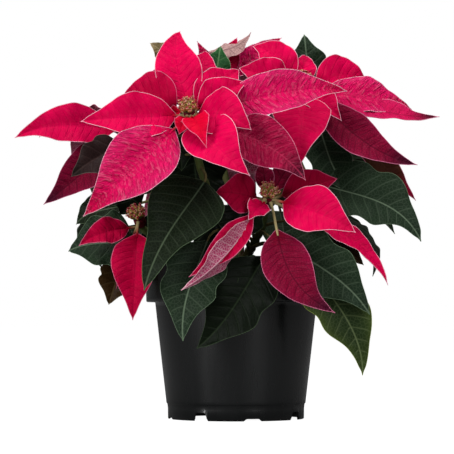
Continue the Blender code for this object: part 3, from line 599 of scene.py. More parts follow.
@dataclass
class BladeMaker:
    """Builds each blade as a closed thin shell with veins, blisters, waves and a midrib."""

    rows: int = 56
    columns: int = 18
    half_thickness: float = 0.26
    margin_half_thickness: float = 0.12
    least_half_width: float = 0.15
    rib_height: float = 0.7
    rib_width: float = 0.7
    groove_depth: float = 0.45
    groove_width: float = 0.8
    vein_slant: float = 0.55
    vein_curve: float = 0.007
    fold_round: float = 0.12
    stalk_sides: int = 10

    def curves(self, blade: Blade, root: np.ndarray, facing: Triple) -> tuple:
        """Work out where a blade runs.

        Args:
            blade: The blade.
            root: Where it grows, in mm.
            facing: The direction its upper side looks in, if it names none.

        Returns:
            The stalk's curve, the leafy curve, the first share of the leafy curve that is
            leafy, and the direction that the upper side looks in.
        """
        tip = np.array(blade.tip, dtype=float)
        neck = np.array(blade.neck, dtype=float) if blade.neck else root
        chord = tip - neck
        along = unit(chord)
        face = unit(np.array(blade.face or facing))
        normal = unit(face - along * face.dot(along))
        roll = math.radians(blade.roll)
        normal = normal * math.cos(roll) + np.cross(along, normal) * math.sin(roll)
        side = np.cross(along, normal)
        push = (normal * blade.lift + side * blade.bend) * 4 / 3
        leafy = Cubic(neck, neck + chord * 0.33 + push * 0.4, neck + chord * 0.67 + push * 1.6,
                      tip)
        if not blade.neck:
            return leafy, leafy, blade.stalk, normal
        reach = np.linalg.norm(neck - root) / 3
        entry = unit(leafy.b - leafy.a) * reach
        bow = root + (neck - root) * 0.33 + np.array([0, 0, reach * 0.4])
        return Cubic(root, bow, neck - entry, neck), leafy, 0.0, normal

    def add(self, store: MeshStore, blade: Blade, root: np.ndarray, facing: Triple,
            organ: Organ, seed: str) -> None:
        """Add one blade with its stalk.

        Args:
            store: Where its shells go.
            blade: The blade.
            root: Where it grows, in mm.
            facing: The direction its upper side looks in, if it names none.
            organ: Bract or leaf.
            seed: Name of its random draws.
        """
        draw = random.Random(seed)
        phases = np.array([draw.uniform(0, math.tau), draw.uniform(0, math.tau)])
        ruffles = np.array([draw.uniform(0, math.tau), draw.uniform(0, math.tau)])
        shade = 1.0 + draw.uniform(-0.05, 0.05)
        stalk_curve, curve, first, normal = self.curves(blade, root, facing)
        tissue = (blade.tone or organ.tone).value

        u = np.linspace(0.0, 1.0, self.rows + 1) ** 0.9
        run = first + (1.0 - first) * u
        centre = curve.points(run)
        way = curve.ways(run)
        up = unit(normal - way * (way @ normal)[:, None])
        spin = np.radians(blade.twist * (blade.stalk + (1 - blade.stalk) * u))[:, None]
        up = up * np.cos(spin) + np.cross(way, up) * np.sin(spin)
        across = np.cross(way, up)
        steps = np.linalg.norm(np.diff(centre, axis=0), axis=1)
        along = np.concatenate([[0.0], np.cumsum(steps)])

        places, shares = np.array(blade.outline).T
        half = smooth_through(places, shares, u) * blade.wide / 2
        half = np.maximum(half * (1 - 0.6 * smoothstep(0.93, 1.0, u)), self.least_half_width)
        s = np.linspace(-1.0, 1.0, self.columns + 1)
        s = np.sign(s) * np.abs(s) ** 0.92
        edge_side = (s > 0).astype(int)
        out = np.abs(s)[None, :]
        x = half[:, None] * out
        grid_u = u[:, None]
        swell = blade.wave * np.sin(math.pi * grid_u)
        fold = math.radians(blade.fold)

        rounding = self.fold_round
        vee = (np.sqrt(out ** 2 + rounding ** 2) - rounding) / (math.hypot(1, rounding) - rounding)
        rise = half[:, None] * math.sin(fold) * vee
        rise = rise + half[:, None] * 0.05 * np.sin(math.pi * out)
        rise = rise + swell * np.sin(2.5 * math.tau * grid_u + phases[edge_side]) * out ** 1.6
        rise = rise + 0.28 * swell * np.sin(6.5 * math.tau * grid_u + ruffles[edge_side]) * out ** 3

        wobble = 0.7 * np.sin(along / 9 + phases[0])[:, None]
        vein = (along[:, None] - self.vein_slant * x - self.vein_curve * x ** 2 + wobble)
        vein = vein / organ.vein_spacing + 0.13 * (s > 0)[None, :]
        near_vein = np.abs((vein + 0.5) % 1.0 - 0.5) * organ.vein_spacing
        spread = np.minimum(1.0, x / 2.5) * (1 - out ** 3) * np.sin(math.pi * grid_u) ** 0.4
        blister = np.sin(x * 1.7 + phases[1]) * np.sin(along[:, None] * 1.5 + ruffles[0])
        rise = rise + tissue.pucker * spread * (0.3 * blister - np.exp(-(near_vein / 1.0) ** 2))
        rise = rise - (self.groove_depth * np.exp(-(x / self.groove_width) ** 2)
                       * (1 - 0.7 * grid_u))

        thick = self.half_thickness + (self.margin_half_thickness - self.half_thickness) * out
        rib = self.rib_height * np.exp(-(x / self.rib_width) ** 2) * (1 - grid_u) ** 0.8
        flat = centre[:, None] + across[:, None] * (half[:, None] * s * math.cos(fold))[..., None]
        upper = flat + up[:, None] * (rise + thick)[..., None]
        lower = flat + up[:, None] * (rise - thick - rib)[..., None]

        count_u, count_s = rise.shape
        colour = mix(lit(tissue.root), lit(tissue.middle), smoothstep(0.0, 0.25, u))
        colour = np.repeat(colour[:, None], count_s, axis=1)
        colour = mix(colour, lit(tissue.edge), np.broadcast_to(0.8 * out ** 3, rise.shape))
        colour = mix(colour, lit(tissue.tip),
                     np.broadcast_to(smoothstep(0.68, 0.95, grid_u), rise.shape))
        under = np.broadcast_to(lit(tissue.under), colour.shape)
        edge = half[:, None] * (1 - out) + 0 * rise
        x = x + 0 * rise
        vein_mm = np.stack([x, vein, edge], axis=-1)
        flat_x = half[:, None] * s
        flat_y = np.repeat(along[:, None], count_s, axis=1)

        def with_alpha(rgb: np.ndarray, alpha: float) -> np.ndarray:
            """Put one alpha beside each colour."""
            return np.concatenate([rgb, np.full(rgb.shape[:-1] + (1,), alpha)], axis=-1)

        def layer(rgb: np.ndarray, veins: str, strengths: Triple) -> dict[str, np.ndarray]:
            """The colours and measures of one side, per corner."""
            side_veins, net, rib_strength = strengths
            shape = colour.shape
            vein_rgb = np.broadcast_to(lit(veins), shape)
            # Painted highlight: the pale rim colour, for the margins and the crease tops.
            rim_highlight_rgb = np.broadcast_to(lit(tissue.margin), shape)
            flat_mm = np.stack([flat_x, flat_y, np.full_like(flat_x, rib_strength)], axis=-1)
            return {
                "tissue": with_alpha(rgb * shade, side_veins),
                "veins": with_alpha(vein_rgb, net),
                # The rim alpha sets how much paler the crease tops are painted, as a highlight, and how deep
                # the crinkles are.
                "rim": with_alpha(rim_highlight_rgb, tissue.pucker ** 2),
                "vein_mm": vein_mm,
                "flat_mm": flat_mm,
            }

        top = layer(colour, tissue.vein, (tissue.side_veins, tissue.net, tissue.rib))
        low = layer(under, tissue.under_vein, organ.under_strengths)
        layers = {}
        for name in top:
            size = top[name].shape[-1]
            layers[name] = np.concatenate([top[name].reshape(-1, size),
                                           low[name].reshape(-1, size)])
        grid = np.arange(count_u * count_s).reshape(count_u, count_s)
        below = grid + count_u * count_s
        faces = []
        for sheet, step in ((grid, 1), (below, -1)):
            near, far = sheet[:-1, :-1], sheet[1:, 1:]
            for third in ((near, sheet[:-1, 1:], far), (near, far, sheet[1:, :-1])):
                faces.append(np.stack(third, axis=-1).reshape(-1, 3)[:, ::step])
        ring = np.concatenate([grid[0, :-1], grid[:-1, -1], grid[-1, :0:-1], grid[:0:-1, 0]])
        low_ring = ring + count_u * count_s
        faces.append(np.stack([ring, low_ring, np.roll(low_ring, -1), np.roll(ring, -1)], axis=-1))
        points = np.concatenate([upper.reshape(-1, 3), lower.reshape(-1, 3)])
        store.add(points, faces, **layers)
        self.add_stalk(store, blade, stalk_curve, organ, tissue)

    def add_stalk(self, store: MeshStore, blade: Blade, curve: Cubic, organ: Organ,
                  tissue: Tissue) -> None:
        """Add the round stalk, which runs on a little under the blade.

        Args:
            store: Where its shell goes.
            blade: The blade.
            curve: The stalk's curve.
            organ: Bract or leaf.
            tissue: The blade's colouring.
        """
        end = 1.0 if blade.neck else blade.stalk + 0.05
        t = np.linspace(0.0, end, 16)
        radii = np.interp(t / end, (0.0, 0.15, 0.85, 1.0), (1.5, 1.05, 0.95, 0.55))
        pale = smoothstep(0.1, 0.9, t / end)
        first = lit(organ.stalk_colour)
        last = lit(tissue.root if organ is Organ.BRACT and blade.stalk < 0.2
                   else organ.stalk_colour)
        colour = mix(np.broadcast_to(first, (len(t), 3)), np.broadcast_to(last, (len(t), 3)), pale)
        rows = np.concatenate([colour, np.zeros((len(t), 1))], axis=1)
        store.add_tube(curve.points(t), radii, self.stalk_sides, rows)


@dataclass
class FloweringBranch:
    """A branch's three pieces: the leafy stem, the bloom's bracts and its cyathia."""

    branch: Branch
    main_radius: float = 6.0
    fit: float = 0.3
    radius: float = 2.9
    tip_radius: float = 2.2
    hub_radius: float = 4.6
    hub_length: float = 9.0
    hub_roots_share: float = 0.72
    root_depth: float = 0.9
    path_start: float = 3.0
    path_end: float = 4.0
    path_steps: int = 6
    tube_steps: int = 72
    tube_sides: int = 20
    bud_count: int = 19
    bud_length: float = 8.2
    blades: BladeMaker = field(default_factory=BladeMaker)

    @property
    def hub(self) -> np.ndarray:
        """The middle of the bloom's hub."""
        return np.array(self.branch.hub, dtype=float)

    @property
    def facing(self) -> np.ndarray:
        """The direction that the bloom looks in."""
        return unit(np.array(self.branch.facing))

    def path(self) -> np.ndarray:
        """The stem's points from the side of the main stem to just under the bloom."""
        bearing = math.radians(self.branch.bearing)
        out = np.array([math.cos(bearing), math.sin(bearing), 0.0])
        rise = np.array([0.0, 0.0, 0.5])
        start = out * (self.main_radius + self.fit) + np.array([0, 0, self.branch.leaves_at])
        end = self.hub - self.facing * (self.hub_length / 2 + self.fit)
        reach = np.linalg.norm(end - start)
        first = start + out * self.path_start
        way = Cubic(first, first + (out + rise) * reach * 0.25,
                    end - (self.facing * 0.7 + rise) * reach * 0.3, end)
        inner = way.points(np.arange(1, self.path_steps + 1) / self.path_steps)
        points = np.concatenate([[start, first], inner])
        points[-2] = points[-1] - self.facing * self.path_end
        return points

    def leaf_root(self, share: float) -> np.ndarray:
        """The point at a share of the path's steps, where a leaf grows."""
        points = self.path()
        place = share * (len(points) - 1)
        i = min(int(place), len(points) - 2)
        return points[i] + (points[i + 1] - points[i]) * (place - i)

    def make_leafy_stem(self, material: bpy.types.Material) -> bpy.types.Object:
        """Build the green stem with its leaves.

        Args:
            material: The leaves' finish.

        Returns:
            The piece.
        """
        store = MeshStore()
        points = self.path()
        steps = np.arange(len(points)) / (len(points) - 1)
        share = np.linspace(0.0, 1.0, self.tube_steps)
        line = smooth_through(steps, points, share)
        radii = self.radius + (self.tip_radius - self.radius) * share
        for leaf in self.branch.leaves:
            radii = radii + 0.45 * np.exp(-((share - leaf.at) / 0.022) ** 2)
        woody = mix(np.broadcast_to(lit("4A3A26"), (len(share), 3)),
                    np.broadcast_to(lit("5E6B3C"), (len(share), 3)), smoothstep(0.1, 0.8, share))
        rows = np.concatenate([woody, np.zeros((len(share), 1))], axis=1)
        store.add_tube(line, radii, self.tube_sides, rows)
        for i, leaf in enumerate(self.branch.leaves):
            self.blades.add(store, leaf, self.leaf_root(leaf.at), UP, Organ.LEAF,
                            f"{self.branch.name} leaf {i}")
        return store.build(f"leafy_stem_{self.branch.name}_dressed", material)

    def make_bracts(self, material: bpy.types.Material) -> bpy.types.Object:
        """Build the bloom's hub with its bracts.

        Args:
            material: The bracts' finish.

        Returns:
            The piece.
        """
        store = MeshStore()
        half = self.hub_length / 2
        profile = [(-half, self.tip_radius), (-half * 0.8, self.hub_radius * 0.75),
                   (-half * 0.4, self.hub_radius * 0.92), (half * 0.4, self.hub_radius * 0.9),
                   (half * 0.85, self.hub_radius * 0.85), (half, self.hub_radius * 0.7)]
        rows = np.array([[*lit("6A1A2A"), 0.0]] * len(profile))
        store.add_turned(profile, self.hub, self.facing, self.tube_sides, rows)
        count = len(self.branch.bracts)
        for i, bract in enumerate(self.branch.bracts):
            away = np.array(bract.tip, dtype=float) - self.hub
            away = unit(away - self.facing * away.dot(self.facing))
            height = (i / max(1, count - 1) - 0.5) * self.hub_length * self.hub_roots_share
            root = self.hub + self.facing * height + away * (self.hub_radius - self.root_depth)
            self.blades.add(store, bract, root, self.branch.facing, Organ.BRACT,
                            f"{self.branch.name} bract {i}")
        return store.build(f"bracts_{self.branch.name}_dressed", material)

    def make_cyathia(self, material: bpy.types.Material) -> bpy.types.Object:
        """Build the cluster of cup-shaped flowers.

        Args:
            material: Their finish.

        Returns:
            The piece.
        """
        store = MeshStore()
        seat = self.hub + self.facing * (self.hub_length / 2 + self.fit)
        green = np.array([[*lit(c), 0.0] for c in ("2E3A18", "3A4820", "46562A", "3A4820")])
        store.add_turned([(0.0, 3.0), (1.4, 4.3), (2.8, 4.5), (4.0, 3.0)], seat, self.facing,
                         self.tube_sides, green)
        side = unit(np.cross(self.facing, np.array([0.2, 0.1, 0.97])))
        other = np.cross(self.facing, side)
        golden = math.pi * (3 - math.sqrt(5))
        draw = random.Random(f"{self.branch.name} buds")
        for i in range(self.bud_count):
            spread = math.sqrt((i + 0.5) / self.bud_count)
            way = side * math.cos(i * golden) + other * math.sin(i * golden)
            out = unit(self.facing + way * spread * 0.8)
            foot = seat + self.facing * 1.5 + way * spread * 3.4
            tall = self.bud_length - 2.0 * spread + draw.uniform(-0.7, 0.5)
            self.add_bud(store, foot, out, tall, draw)
        return store.build(f"cyathia_{self.branch.name}_dressed", material)

    def add_bud(self, store: MeshStore, foot: np.ndarray, way: np.ndarray, tall: float,
                draw: random.Random) -> None:
        """Add one cyathium: a green cup, a yellow gland on its lip and red stamens.

        Args:
            store: Where its shells go.
            foot: Where it stands.
            way: Its direction.
            tall: Its height in mm.
            draw: Random draws.
        """
        shares = (0.0, 0.15, 0.4, 0.6, 0.74, 0.8)
        radii = (0.7, 1.0, 1.5, 1.55, 1.15, 0.8)
        tints = ("2A2E14", "3E4420", "66702E", "8C8A3E", "B08A4A", "9C3E34")
        cup = [(share * tall, radius) for share, radius in zip(shares, radii)]
        rows = np.array([[*lit(tint), 0.0] for tint in tints])
        store.add_turned(cup, foot, way, 12, rows)
        side = unit(np.cross(way, np.array([0.3, 0.2, 0.93])))
        other = np.cross(way, side)
        turn = draw.uniform(0, math.tau)
        lip = foot + way * tall * 0.72 + (side * math.cos(turn) + other * math.sin(turn)) * 1.15
        yellow = np.array([[*lit(c), 0.0] for c in ("A88034", "C8A048", "B88C40")])
        store.add_turned([(-0.7, 0.35), (0.0, 0.75), (0.6, 0.4)], lip,
                         unit(side * math.sin(turn) - other * math.cos(turn)), 8, yellow)
        for k in range(6):
            angle = turn + k * math.tau / 6
            lean = side * math.cos(angle) + other * math.sin(angle)
            stem_way = unit(way + lean * draw.uniform(0.1, 0.4))
            base = foot + way * tall * 0.76 + lean * 0.45
            length = draw.uniform(1.3, 2.2)
            tip_colour = draw.choice(("D8A868", "B01434", "D02850", "E8B098"))
            reds = np.array([[*lit(c), 0.0] for c in ("A83038", "B8283A", tip_colour, tip_colour)])
            profile = [(0.0, 0.2), (length * 0.65, 0.2), (length * 0.8, 0.42), (length, 0.2)]
            store.add_turned(profile, base, stem_way, 6, reds)


@dataclass
class Pot:
    """A blow-moulded nursery pot: notched foot, step line, tapered body and plain collar."""

    height: float = 112.0
    wall: float = 1.4
    floor: float = 6.0
    floor_thickness: float = 1.4
    foot_radius: float = 9.0
    drain_radius: float = 4.0
    drain_places: float = 37.0
    drain_holes: int = 6
    base_radius: float = 48.5
    body_top_radius: float = 57.5
    collar_bottom: float = 83.0
    collar_low_radius: float = 64.0
    collar_top_radius: float = 65.0
    band_height: float = 11.0
    band_step: float = 0.7
    notch_height: float = 5.5
    notch_width: float = 11.0
    shallow_height: float = 1.6
    shallow_width: float = 13.0
    notch_top_share: float = 0.72
    notch_angles: tuple[float, ...] = (-31.0, 59.0, 149.0, 239.0)
    shallow_angles: tuple[float, ...] = (14.0, 104.0, 194.0, 284.0)
    sides: int = 360

    @property
    def slope(self) -> float:
        """Growth of the wall's radius per mm of height."""
        return (self.body_top_radius - self.base_radius) / self.collar_bottom

    def foot_edge(self, angles: np.ndarray) -> np.ndarray:
        """Height of the foot's lower edge at each bearing from the front, in degrees."""
        edge = np.zeros(len(angles))
        for centres, height, width in (
            (self.notch_angles, self.notch_height, self.notch_width),
            (self.shallow_angles, self.shallow_height, self.shallow_width),
        ):
            low = math.degrees(width / 2 / self.base_radius)
            high = low * self.notch_top_share
            for centre in centres:
                away = np.abs((angles - centre + 180) % 360 - 180)
                edge = np.maximum(edge, height * np.clip((low - away) / (low - high), 0, 1))
        return edge

    def profile(self) -> list[tuple[float, float, bool]]:
        """Radius, height and whether the ring follows the foot's notched edge."""
        band = self.base_radius + self.slope * self.band_height
        inner = self.base_radius - self.wall
        top_of_floor = self.floor + self.floor_thickness
        step = self.band_height
        low, high = self.collar_low_radius, self.collar_top_radius
        body, bottom = self.body_top_radius, self.collar_bottom
        floor_radius = inner + self.slope * top_of_floor
        return [
            (self.foot_radius - 0.5, 0.0, False),
            (self.foot_radius, 0.3, False),
            (self.foot_radius + 1.3, self.floor - 0.6, False),
            (self.foot_radius + 1.9, self.floor, False),
            (inner - 0.4, self.floor, False),
            (inner, self.floor - 0.3, False),
            (inner, 0.0, True),
            (self.base_radius - 0.4, 0.0, True),
            (self.base_radius, 0.4, True),
            (band - self.band_step - 0.35, step - 3.5, False),
            (band - self.band_step, step - 0.5, False),
            (band - self.band_step + 0.1, step - 0.2, False),
            (band - 0.1, step + 0.3, False),
            (band, step + 0.6, False),
            (band + self.slope * 2, step + 2.6, False),
            (body - 0.15, bottom - 3.0, False),
            (body + 0.1, bottom - 0.6, False),
            (body + 0.8, bottom, False),
            (low - 1.0, bottom, False),
            (low - 0.3, bottom + 0.2, False),
            (low, bottom + 0.8, False),
            (low + 0.05, bottom + 2.5, False),
            (high - 0.05, self.height - 2.5, False),
            (high, self.height - 0.8, False),
            (high - 0.3, self.height - 0.1, False),
            (high - 0.7, self.height, False),
            (high - self.wall + 0.2, self.height - 0.1, False),
            (high - self.wall, self.height - 0.6, False),
            (low - self.wall, bottom + self.wall + 1.0, False),
            (low - self.wall - 1.0, bottom + self.wall, False),
            (body - self.wall, bottom + self.wall - 0.4, False),
            (floor_radius, top_of_floor + 1.0, False),
            (floor_radius - 1.0, top_of_floor, False),
            (self.drain_places + self.drain_radius + 2.0, top_of_floor, False),
        ]

    def make(self, material: bpy.types.Material) -> bpy.types.Object:
        """Build the pot.

        Args:
            material: Its finish.

        Returns:
            The piece.
        """
        bearings = np.arange(self.sides) * 360.0 / self.sides
        edge = self.foot_edge(bearings)
        radians = np.radians(bearings - 90.0)
        round_way = np.stack([np.cos(radians), np.sin(radians)], axis=-1)
        rings = []
        for radius, height, notched in self.profile():
            heights = np.full(self.sides, height)
            radii = np.full(self.sides, radius)
            if notched:
                heights = heights + edge
                radii = radii + self.slope * edge
            rings.append(np.concatenate([round_way * radii[:, None], heights[:, None]], axis=1))
        store = MeshStore()
        store.add_rings(np.array(rings), np.zeros((len(rings), 4)))
        pot = store.build("pot_dressed", material)
        self.drill(pot)
        return pot

    def drill(self, pot: bpy.types.Object) -> None:
        """Cut the drain holes through the floor.

        Args:
            pot: The pot's mesh object.
        """
        bm = bmesh.new()
        for i in range(self.drain_holes):
            angle = math.tau * i / self.drain_holes
            made = bmesh.ops.create_cone(bm, cap_ends=True, segments=32,
                                         radius1=self.drain_radius * MM,
                                         radius2=self.drain_radius * MM, depth=8 * MM)
            place = (self.drain_places * math.cos(angle) * MM,
                     self.drain_places * math.sin(angle) * MM, self.floor * MM)
            bmesh.ops.translate(bm, verts=made["verts"], vec=place)
        mesh = bpy.data.meshes.new("drain_cutters")
        bm.to_mesh(mesh)
        bm.free()
        cutters = bpy.data.objects.new("drain_cutters", mesh)
        bpy.context.scene.collection.objects.link(cutters)
        cut = pot.modifiers.new("drain", "BOOLEAN")
        cut.operation = "DIFFERENCE"
        cut.object = cutters
        graph = bpy.context.evaluated_depsgraph_get()
        drilled = bpy.data.meshes.new_from_object(pot.evaluated_get(graph))
        pot.modifiers.clear()
        pot.data = drilled
        bpy.data.objects.remove(cutters)


@dataclass
class Soil:
    """Peat substrate that fills the pot, with a crumbly top round the main stem."""

    top: float = 99.0
    low: float = 7.7
    base_radius: float = 47.1
    shoulder_radius: float = 55.4
    shoulder: float = 84.7
    rim_radius: float = 61.8
    hole_radius: float = 6.3
    hole_depth: float = 41.3
    sides: int = 180
    crumbs: int = 900

    def make(self, material: bpy.types.Material) -> bpy.types.Object:
        """Build the soil.

        Args:
            material: Its finish.

        Returns:
            The piece.
        """
        draw = random.Random("peat")
        profile = [(1.0, self.low), (self.base_radius, self.low),
                   (self.shoulder_radius, self.shoulder), (self.rim_radius, self.shoulder),
                   (self.rim_radius, self.top - 1.0)]
        for radius in np.linspace(self.rim_radius - 0.8, self.hole_radius + 0.6, 44):
            share = (self.rim_radius - radius) / (self.rim_radius - self.hole_radius)
            profile.append((radius, self.top + 2.4 * share ** 0.6))
        profile += [(self.hole_radius, self.top + 2.0),
                    (self.hole_radius, self.top - self.hole_depth),
                    (1.0, self.top - self.hole_depth)]
        angles = np.arange(self.sides) * math.tau / self.sides
        rings = []
        for i, (radius, height) in enumerate(profile):
            heights = np.full(self.sides, height)
            if 5 <= i < len(profile) - 3:
                lumps = (np.sin(radius / 3.1 + 5 * angles) * np.sin(radius / 1.7 - 9 * angles)
                         + 0.6 * np.sin(radius * 1.3 + 23 * angles))
                grit = np.array([draw.uniform(-0.35, 0.35) for _ in angles])
                heights = heights + 0.6 * lumps + grit
            rings.append(np.stack([radius * np.cos(angles), radius * np.sin(angles), heights],
                                  axis=-1))
        store = MeshStore()
        store.add_rings(np.array(rings), np.full((len(rings), 4), 0.5))
        for _ in range(self.crumbs):
            self.add_crumb(store, draw)
        return store.build("soil_dressed", material)

    def add_crumb(self, store: MeshStore, draw: random.Random) -> None:
        """Add one crumb of peat, bark or perlite on the surface.

        Args:
            store: Where its shell goes.
            draw: Random draws.
        """
        radius = self.rim_radius * math.sqrt(draw.uniform(0.03, 0.9))
        angle = draw.uniform(0, math.tau)
        size = draw.uniform(0.5, 1.7)
        way = unit(np.array([draw.uniform(-1, 1), draw.uniform(-1, 1), draw.uniform(-0.6, 0.6)]))
        place = np.array([radius * math.cos(angle), radius * math.sin(angle),
                          self.top + 1.6 + draw.uniform(-0.3, 0.5)])
        tone = 1.0 if draw.random() < 0.03 else draw.uniform(0.2, 0.8)
        profile = [(-size, size * 0.3), (-size * 0.3, size * 0.8), (size * 0.4, size * 0.7),
                   (size * draw.uniform(0.8, 1.5), size * 0.25)]
        store.add_turned(profile, place, way, 6, np.full((4, 4), tone))


@dataclass
class MainStem:
    """The woody stem, with rings of old leaf scars, cut off above its branches."""

    radius: float = 6.0
    bottom: float = 58.0
    top: float = 152.0
    sides: int = 48

    def make(self, material: bpy.types.Material) -> bpy.types.Object:
        """Build the stem.

        Args:
            material: Its finish.

        Returns:
            The piece.
        """
        heights = np.concatenate([np.linspace(self.bottom, self.top - 1.2, 90),
                                  [self.top - 0.5, self.top - 0.1, self.top]])
        angles = np.arange(self.sides) * math.tau / self.sides
        rings = []
        for height in heights:
            ridge = 0.12 * np.sin(7 * angles + height / 9) + 0.08 * np.sin(17 * angles)
            scar = 0.16 * np.exp(-(((height - 100.0) % 13.0 - 6.5) / 0.8) ** 2)
            shrink = 0.12 * max(0.0, height - (self.top - 1.2)) ** 2 / 1.2 ** 2 * self.radius
            radius = self.radius - 0.2 + ridge + scar - shrink
            rings.append(np.stack([radius * np.cos(angles), radius * np.sin(angles),
                                   np.full(self.sides, height)], axis=-1))
        store = MeshStore()
        store.add_rings(np.array(rings), np.zeros((len(rings), 4)))
        return store.build("main_stem_dressed", material)


def add_node(tree: bpy.types.NodeTree, kind: str, settings: Optional[dict] = None,
             links: Optional[dict] = None) -> bpy.types.Node:
    """Add a shader node.

    Args:
        tree: The material's nodes.
        kind: Blender's name for the node.
        settings: Properties by name, or socket values by name or number.
        links: Sockets to join, by the name or number of the input.

    Returns:
        The node.
    """
    node = tree.nodes.new(kind)
    for key, value in (settings or {}).items():
        if isinstance(key, str) and hasattr(node, key):
            setattr(node, key, value)
        else:
            node.inputs[key].default_value = value
    for key, socket in (links or {}).items():
        tree.links.new(socket, node.inputs[key])
    return node


def new_material(name: str) -> tuple[bpy.types.Material, bpy.types.NodeTree, bpy.types.Node]:
    """Make a material and give it with its nodes and its Principled shader."""
    made = bpy.data.materials.new(name)
    made.use_nodes = True
    return made, made.node_tree, made.node_tree.nodes["Principled BSDF"]


@dataclass(frozen=True)
class LeafSkin:
    """Living leaf or bract under a thin waxy cuticle: soft gloss, veins and net, with a painted highlight as
    a pale rim along the margins and on the tops of the creases.

    Attributes:
        name: The material's name.
        roughness: Roughness of the cuticle.
        specular: Strength of its gloss.
        net_mm: Size of the meshes between the finest veins.
        rim_highlight_mm: Width of the pale rim painted as a highlight along the margins, drawn as wide as it
            needs to show.
        crease_mm: Length of the creases that run beside the side veins.
        creases: How many of them lie between two side veins.
        crease_highlight: How much paler the top of a crease is painted, as a highlight.
        relief_mm: Depth of the creases.
        sheen: Soft light of the fine hairs at the rim of the form.
        sheen_tint: Their colour.
    """

    name: str
    roughness: float
    specular: float
    net_mm: float
    rim_highlight_mm: float
    crease_mm: float
    creases: float
    crease_highlight: float
    relief_mm: float
    sheen: float
    sheen_tint: str

    def material(self) -> bpy.types.Material:
        """Build the material."""
        made, tree, shader = new_material(self.name)
        tissue = add_node(tree, "ShaderNodeAttribute", {"attribute_name": "tissue"})
        veins = add_node(tree, "ShaderNodeAttribute", {"attribute_name": "veins"})
        rim = add_node(tree, "ShaderNodeAttribute", {"attribute_name": "rim"})
        vein_mm = add_node(tree, "ShaderNodeAttribute", {"attribute_name": "vein_mm"})
        flat_mm = add_node(tree, "ShaderNodeAttribute", {"attribute_name": "flat_mm"})
        place = add_node(tree, "ShaderNodeSeparateXYZ", links={0: vein_mm.outputs["Vector"]})
        flat = add_node(tree, "ShaderNodeSeparateXYZ", links={0: flat_mm.outputs["Vector"]})

        # Side veins lie where the vein measure is whole, and fade towards the margin
        from_vein = add_node(tree, "ShaderNodeMath", {"operation": "PINGPONG", 1: 0.5},
                             {0: place.outputs["Y"]})
        side_line = add_node(tree, "ShaderNodeMapRange",
                             {"From Min": 0.10, "From Max": 0.025, "To Min": 0.0, "To Max": 1.0},
                             {"Value": from_vein.outputs[0]})
        inland = add_node(tree, "ShaderNodeMapRange", {"From Min": 0.4, "From Max": 3.0},
                          {"Value": place.outputs["Z"]})
        side_fade = add_node(tree, "ShaderNodeMath", {"operation": "MULTIPLY"},
                             {0: side_line.outputs[0], 1: inland.outputs[0]})
        side = add_node(tree, "ShaderNodeMath", {"operation": "MULTIPLY"},
                        {0: side_fade.outputs[0], 1: tissue.outputs["Alpha"]})

        # The midrib is about 0.5 mm wide
        rib_line = add_node(tree, "ShaderNodeMapRange", {"From Min": 0.75, "From Max": 0.3},
                            {"Value": place.outputs["X"]})
        rib = add_node(tree, "ShaderNodeMath", {"operation": "MULTIPLY"},
                       {0: rib_line.outputs[0], 1: flat.outputs["Z"]})

        # The finest veins close into meshes
        cells = add_node(tree, "ShaderNodeTexVoronoi",
                         {"voronoi_dimensions": "2D", "feature": "DISTANCE_TO_EDGE",
                          "Scale": 1.0 / self.net_mm, "Randomness": 0.9},
                         {"Vector": flat_mm.outputs["Vector"]})
        net_line = add_node(tree, "ShaderNodeMapRange", {"From Min": 0.13, "From Max": 0.03},
                            {"Value": cells.outputs["Distance"]})
        net = add_node(tree, "ShaderNodeMath", {"operation": "MULTIPLY"},
                       {0: net_line.outputs[0], 1: veins.outputs["Alpha"]})
        lines = add_node(tree, "ShaderNodeMath", {"operation": "MAXIMUM"},
                         {0: side.outputs[0], 1: rib.outputs[0]})
        all_lines = add_node(tree, "ShaderNodeMath", {"operation": "MAXIMUM"},
                             {0: lines.outputs[0], 1: net.outputs[0]})

        # Slow change of tone over a few millimetres, as living tissue has
        clouds = add_node(tree, "ShaderNodeTexNoise", {"Scale": 0.11, "Detail": 3.0},
                          {"Vector": flat_mm.outputs["Vector"]})
        level = add_node(tree, "ShaderNodeMapRange",
                         {"From Min": 0.3, "From Max": 0.7, "To Min": 0.86, "To Max": 1.1},
                         {"Value": clouds.outputs[0]})
        mottled = add_node(tree, "ShaderNodeHueSaturation", links={
            "Color": tissue.outputs["Color"], "Value": level.outputs[0]})
        # Painted highlight: the tops of the creases beside the side veins are painted paler, towards the rim
        # colour.
        along_veins = add_node(tree, "ShaderNodeMapping",
                               {"Scale": (1.0 / self.crease_mm, self.creases, 0.0)},
                               {"Vector": vein_mm.outputs["Vector"]})
        creases = add_node(tree, "ShaderNodeTexNoise",
                           {"Scale": 1.0, "Detail": 2.0, "Distortion": 1.0},
                           {"Vector": along_veins.outputs[0]})
        ridge = add_node(tree, "ShaderNodeMapRange",
                         {"From Min": 0.50, "From Max": 0.72, "To Max": self.crease_highlight},
                         {"Value": creases.outputs[0]})
        pale = add_node(tree, "ShaderNodeMath", {"operation": "MULTIPLY"},
                        {0: ridge.outputs[0], 1: rim.outputs["Alpha"]})
        with_crease_highlight = add_node(tree, "ShaderNodeMix", {"data_type": "RGBA"}, {
            0: pale.outputs[0], 6: mottled.outputs[0], 7: rim.outputs["Color"]})
        veined = add_node(tree, "ShaderNodeMix", {"data_type": "RGBA"}, {
            0: all_lines.outputs[0], 6: with_crease_highlight.outputs[2], 7: veins.outputs["Color"]})
        # Painted highlight: a thin pale rim along the margins, where the thin edge catches the light.
        rim_highlight_mask = add_node(tree, "ShaderNodeMapRange",
                          {"From Min": self.rim_highlight_mm, "From Max": self.rim_highlight_mm * 0.5},
                          {"Value": place.outputs["Z"]})
        coloured = add_node(tree, "ShaderNodeMix", {"data_type": "RGBA"}, {
            0: rim_highlight_mask.outputs[0], 6: veined.outputs[2], 7: rim.outputs["Color"]})
        tree.links.new(coloured.outputs[2], shader.inputs["Base Color"])

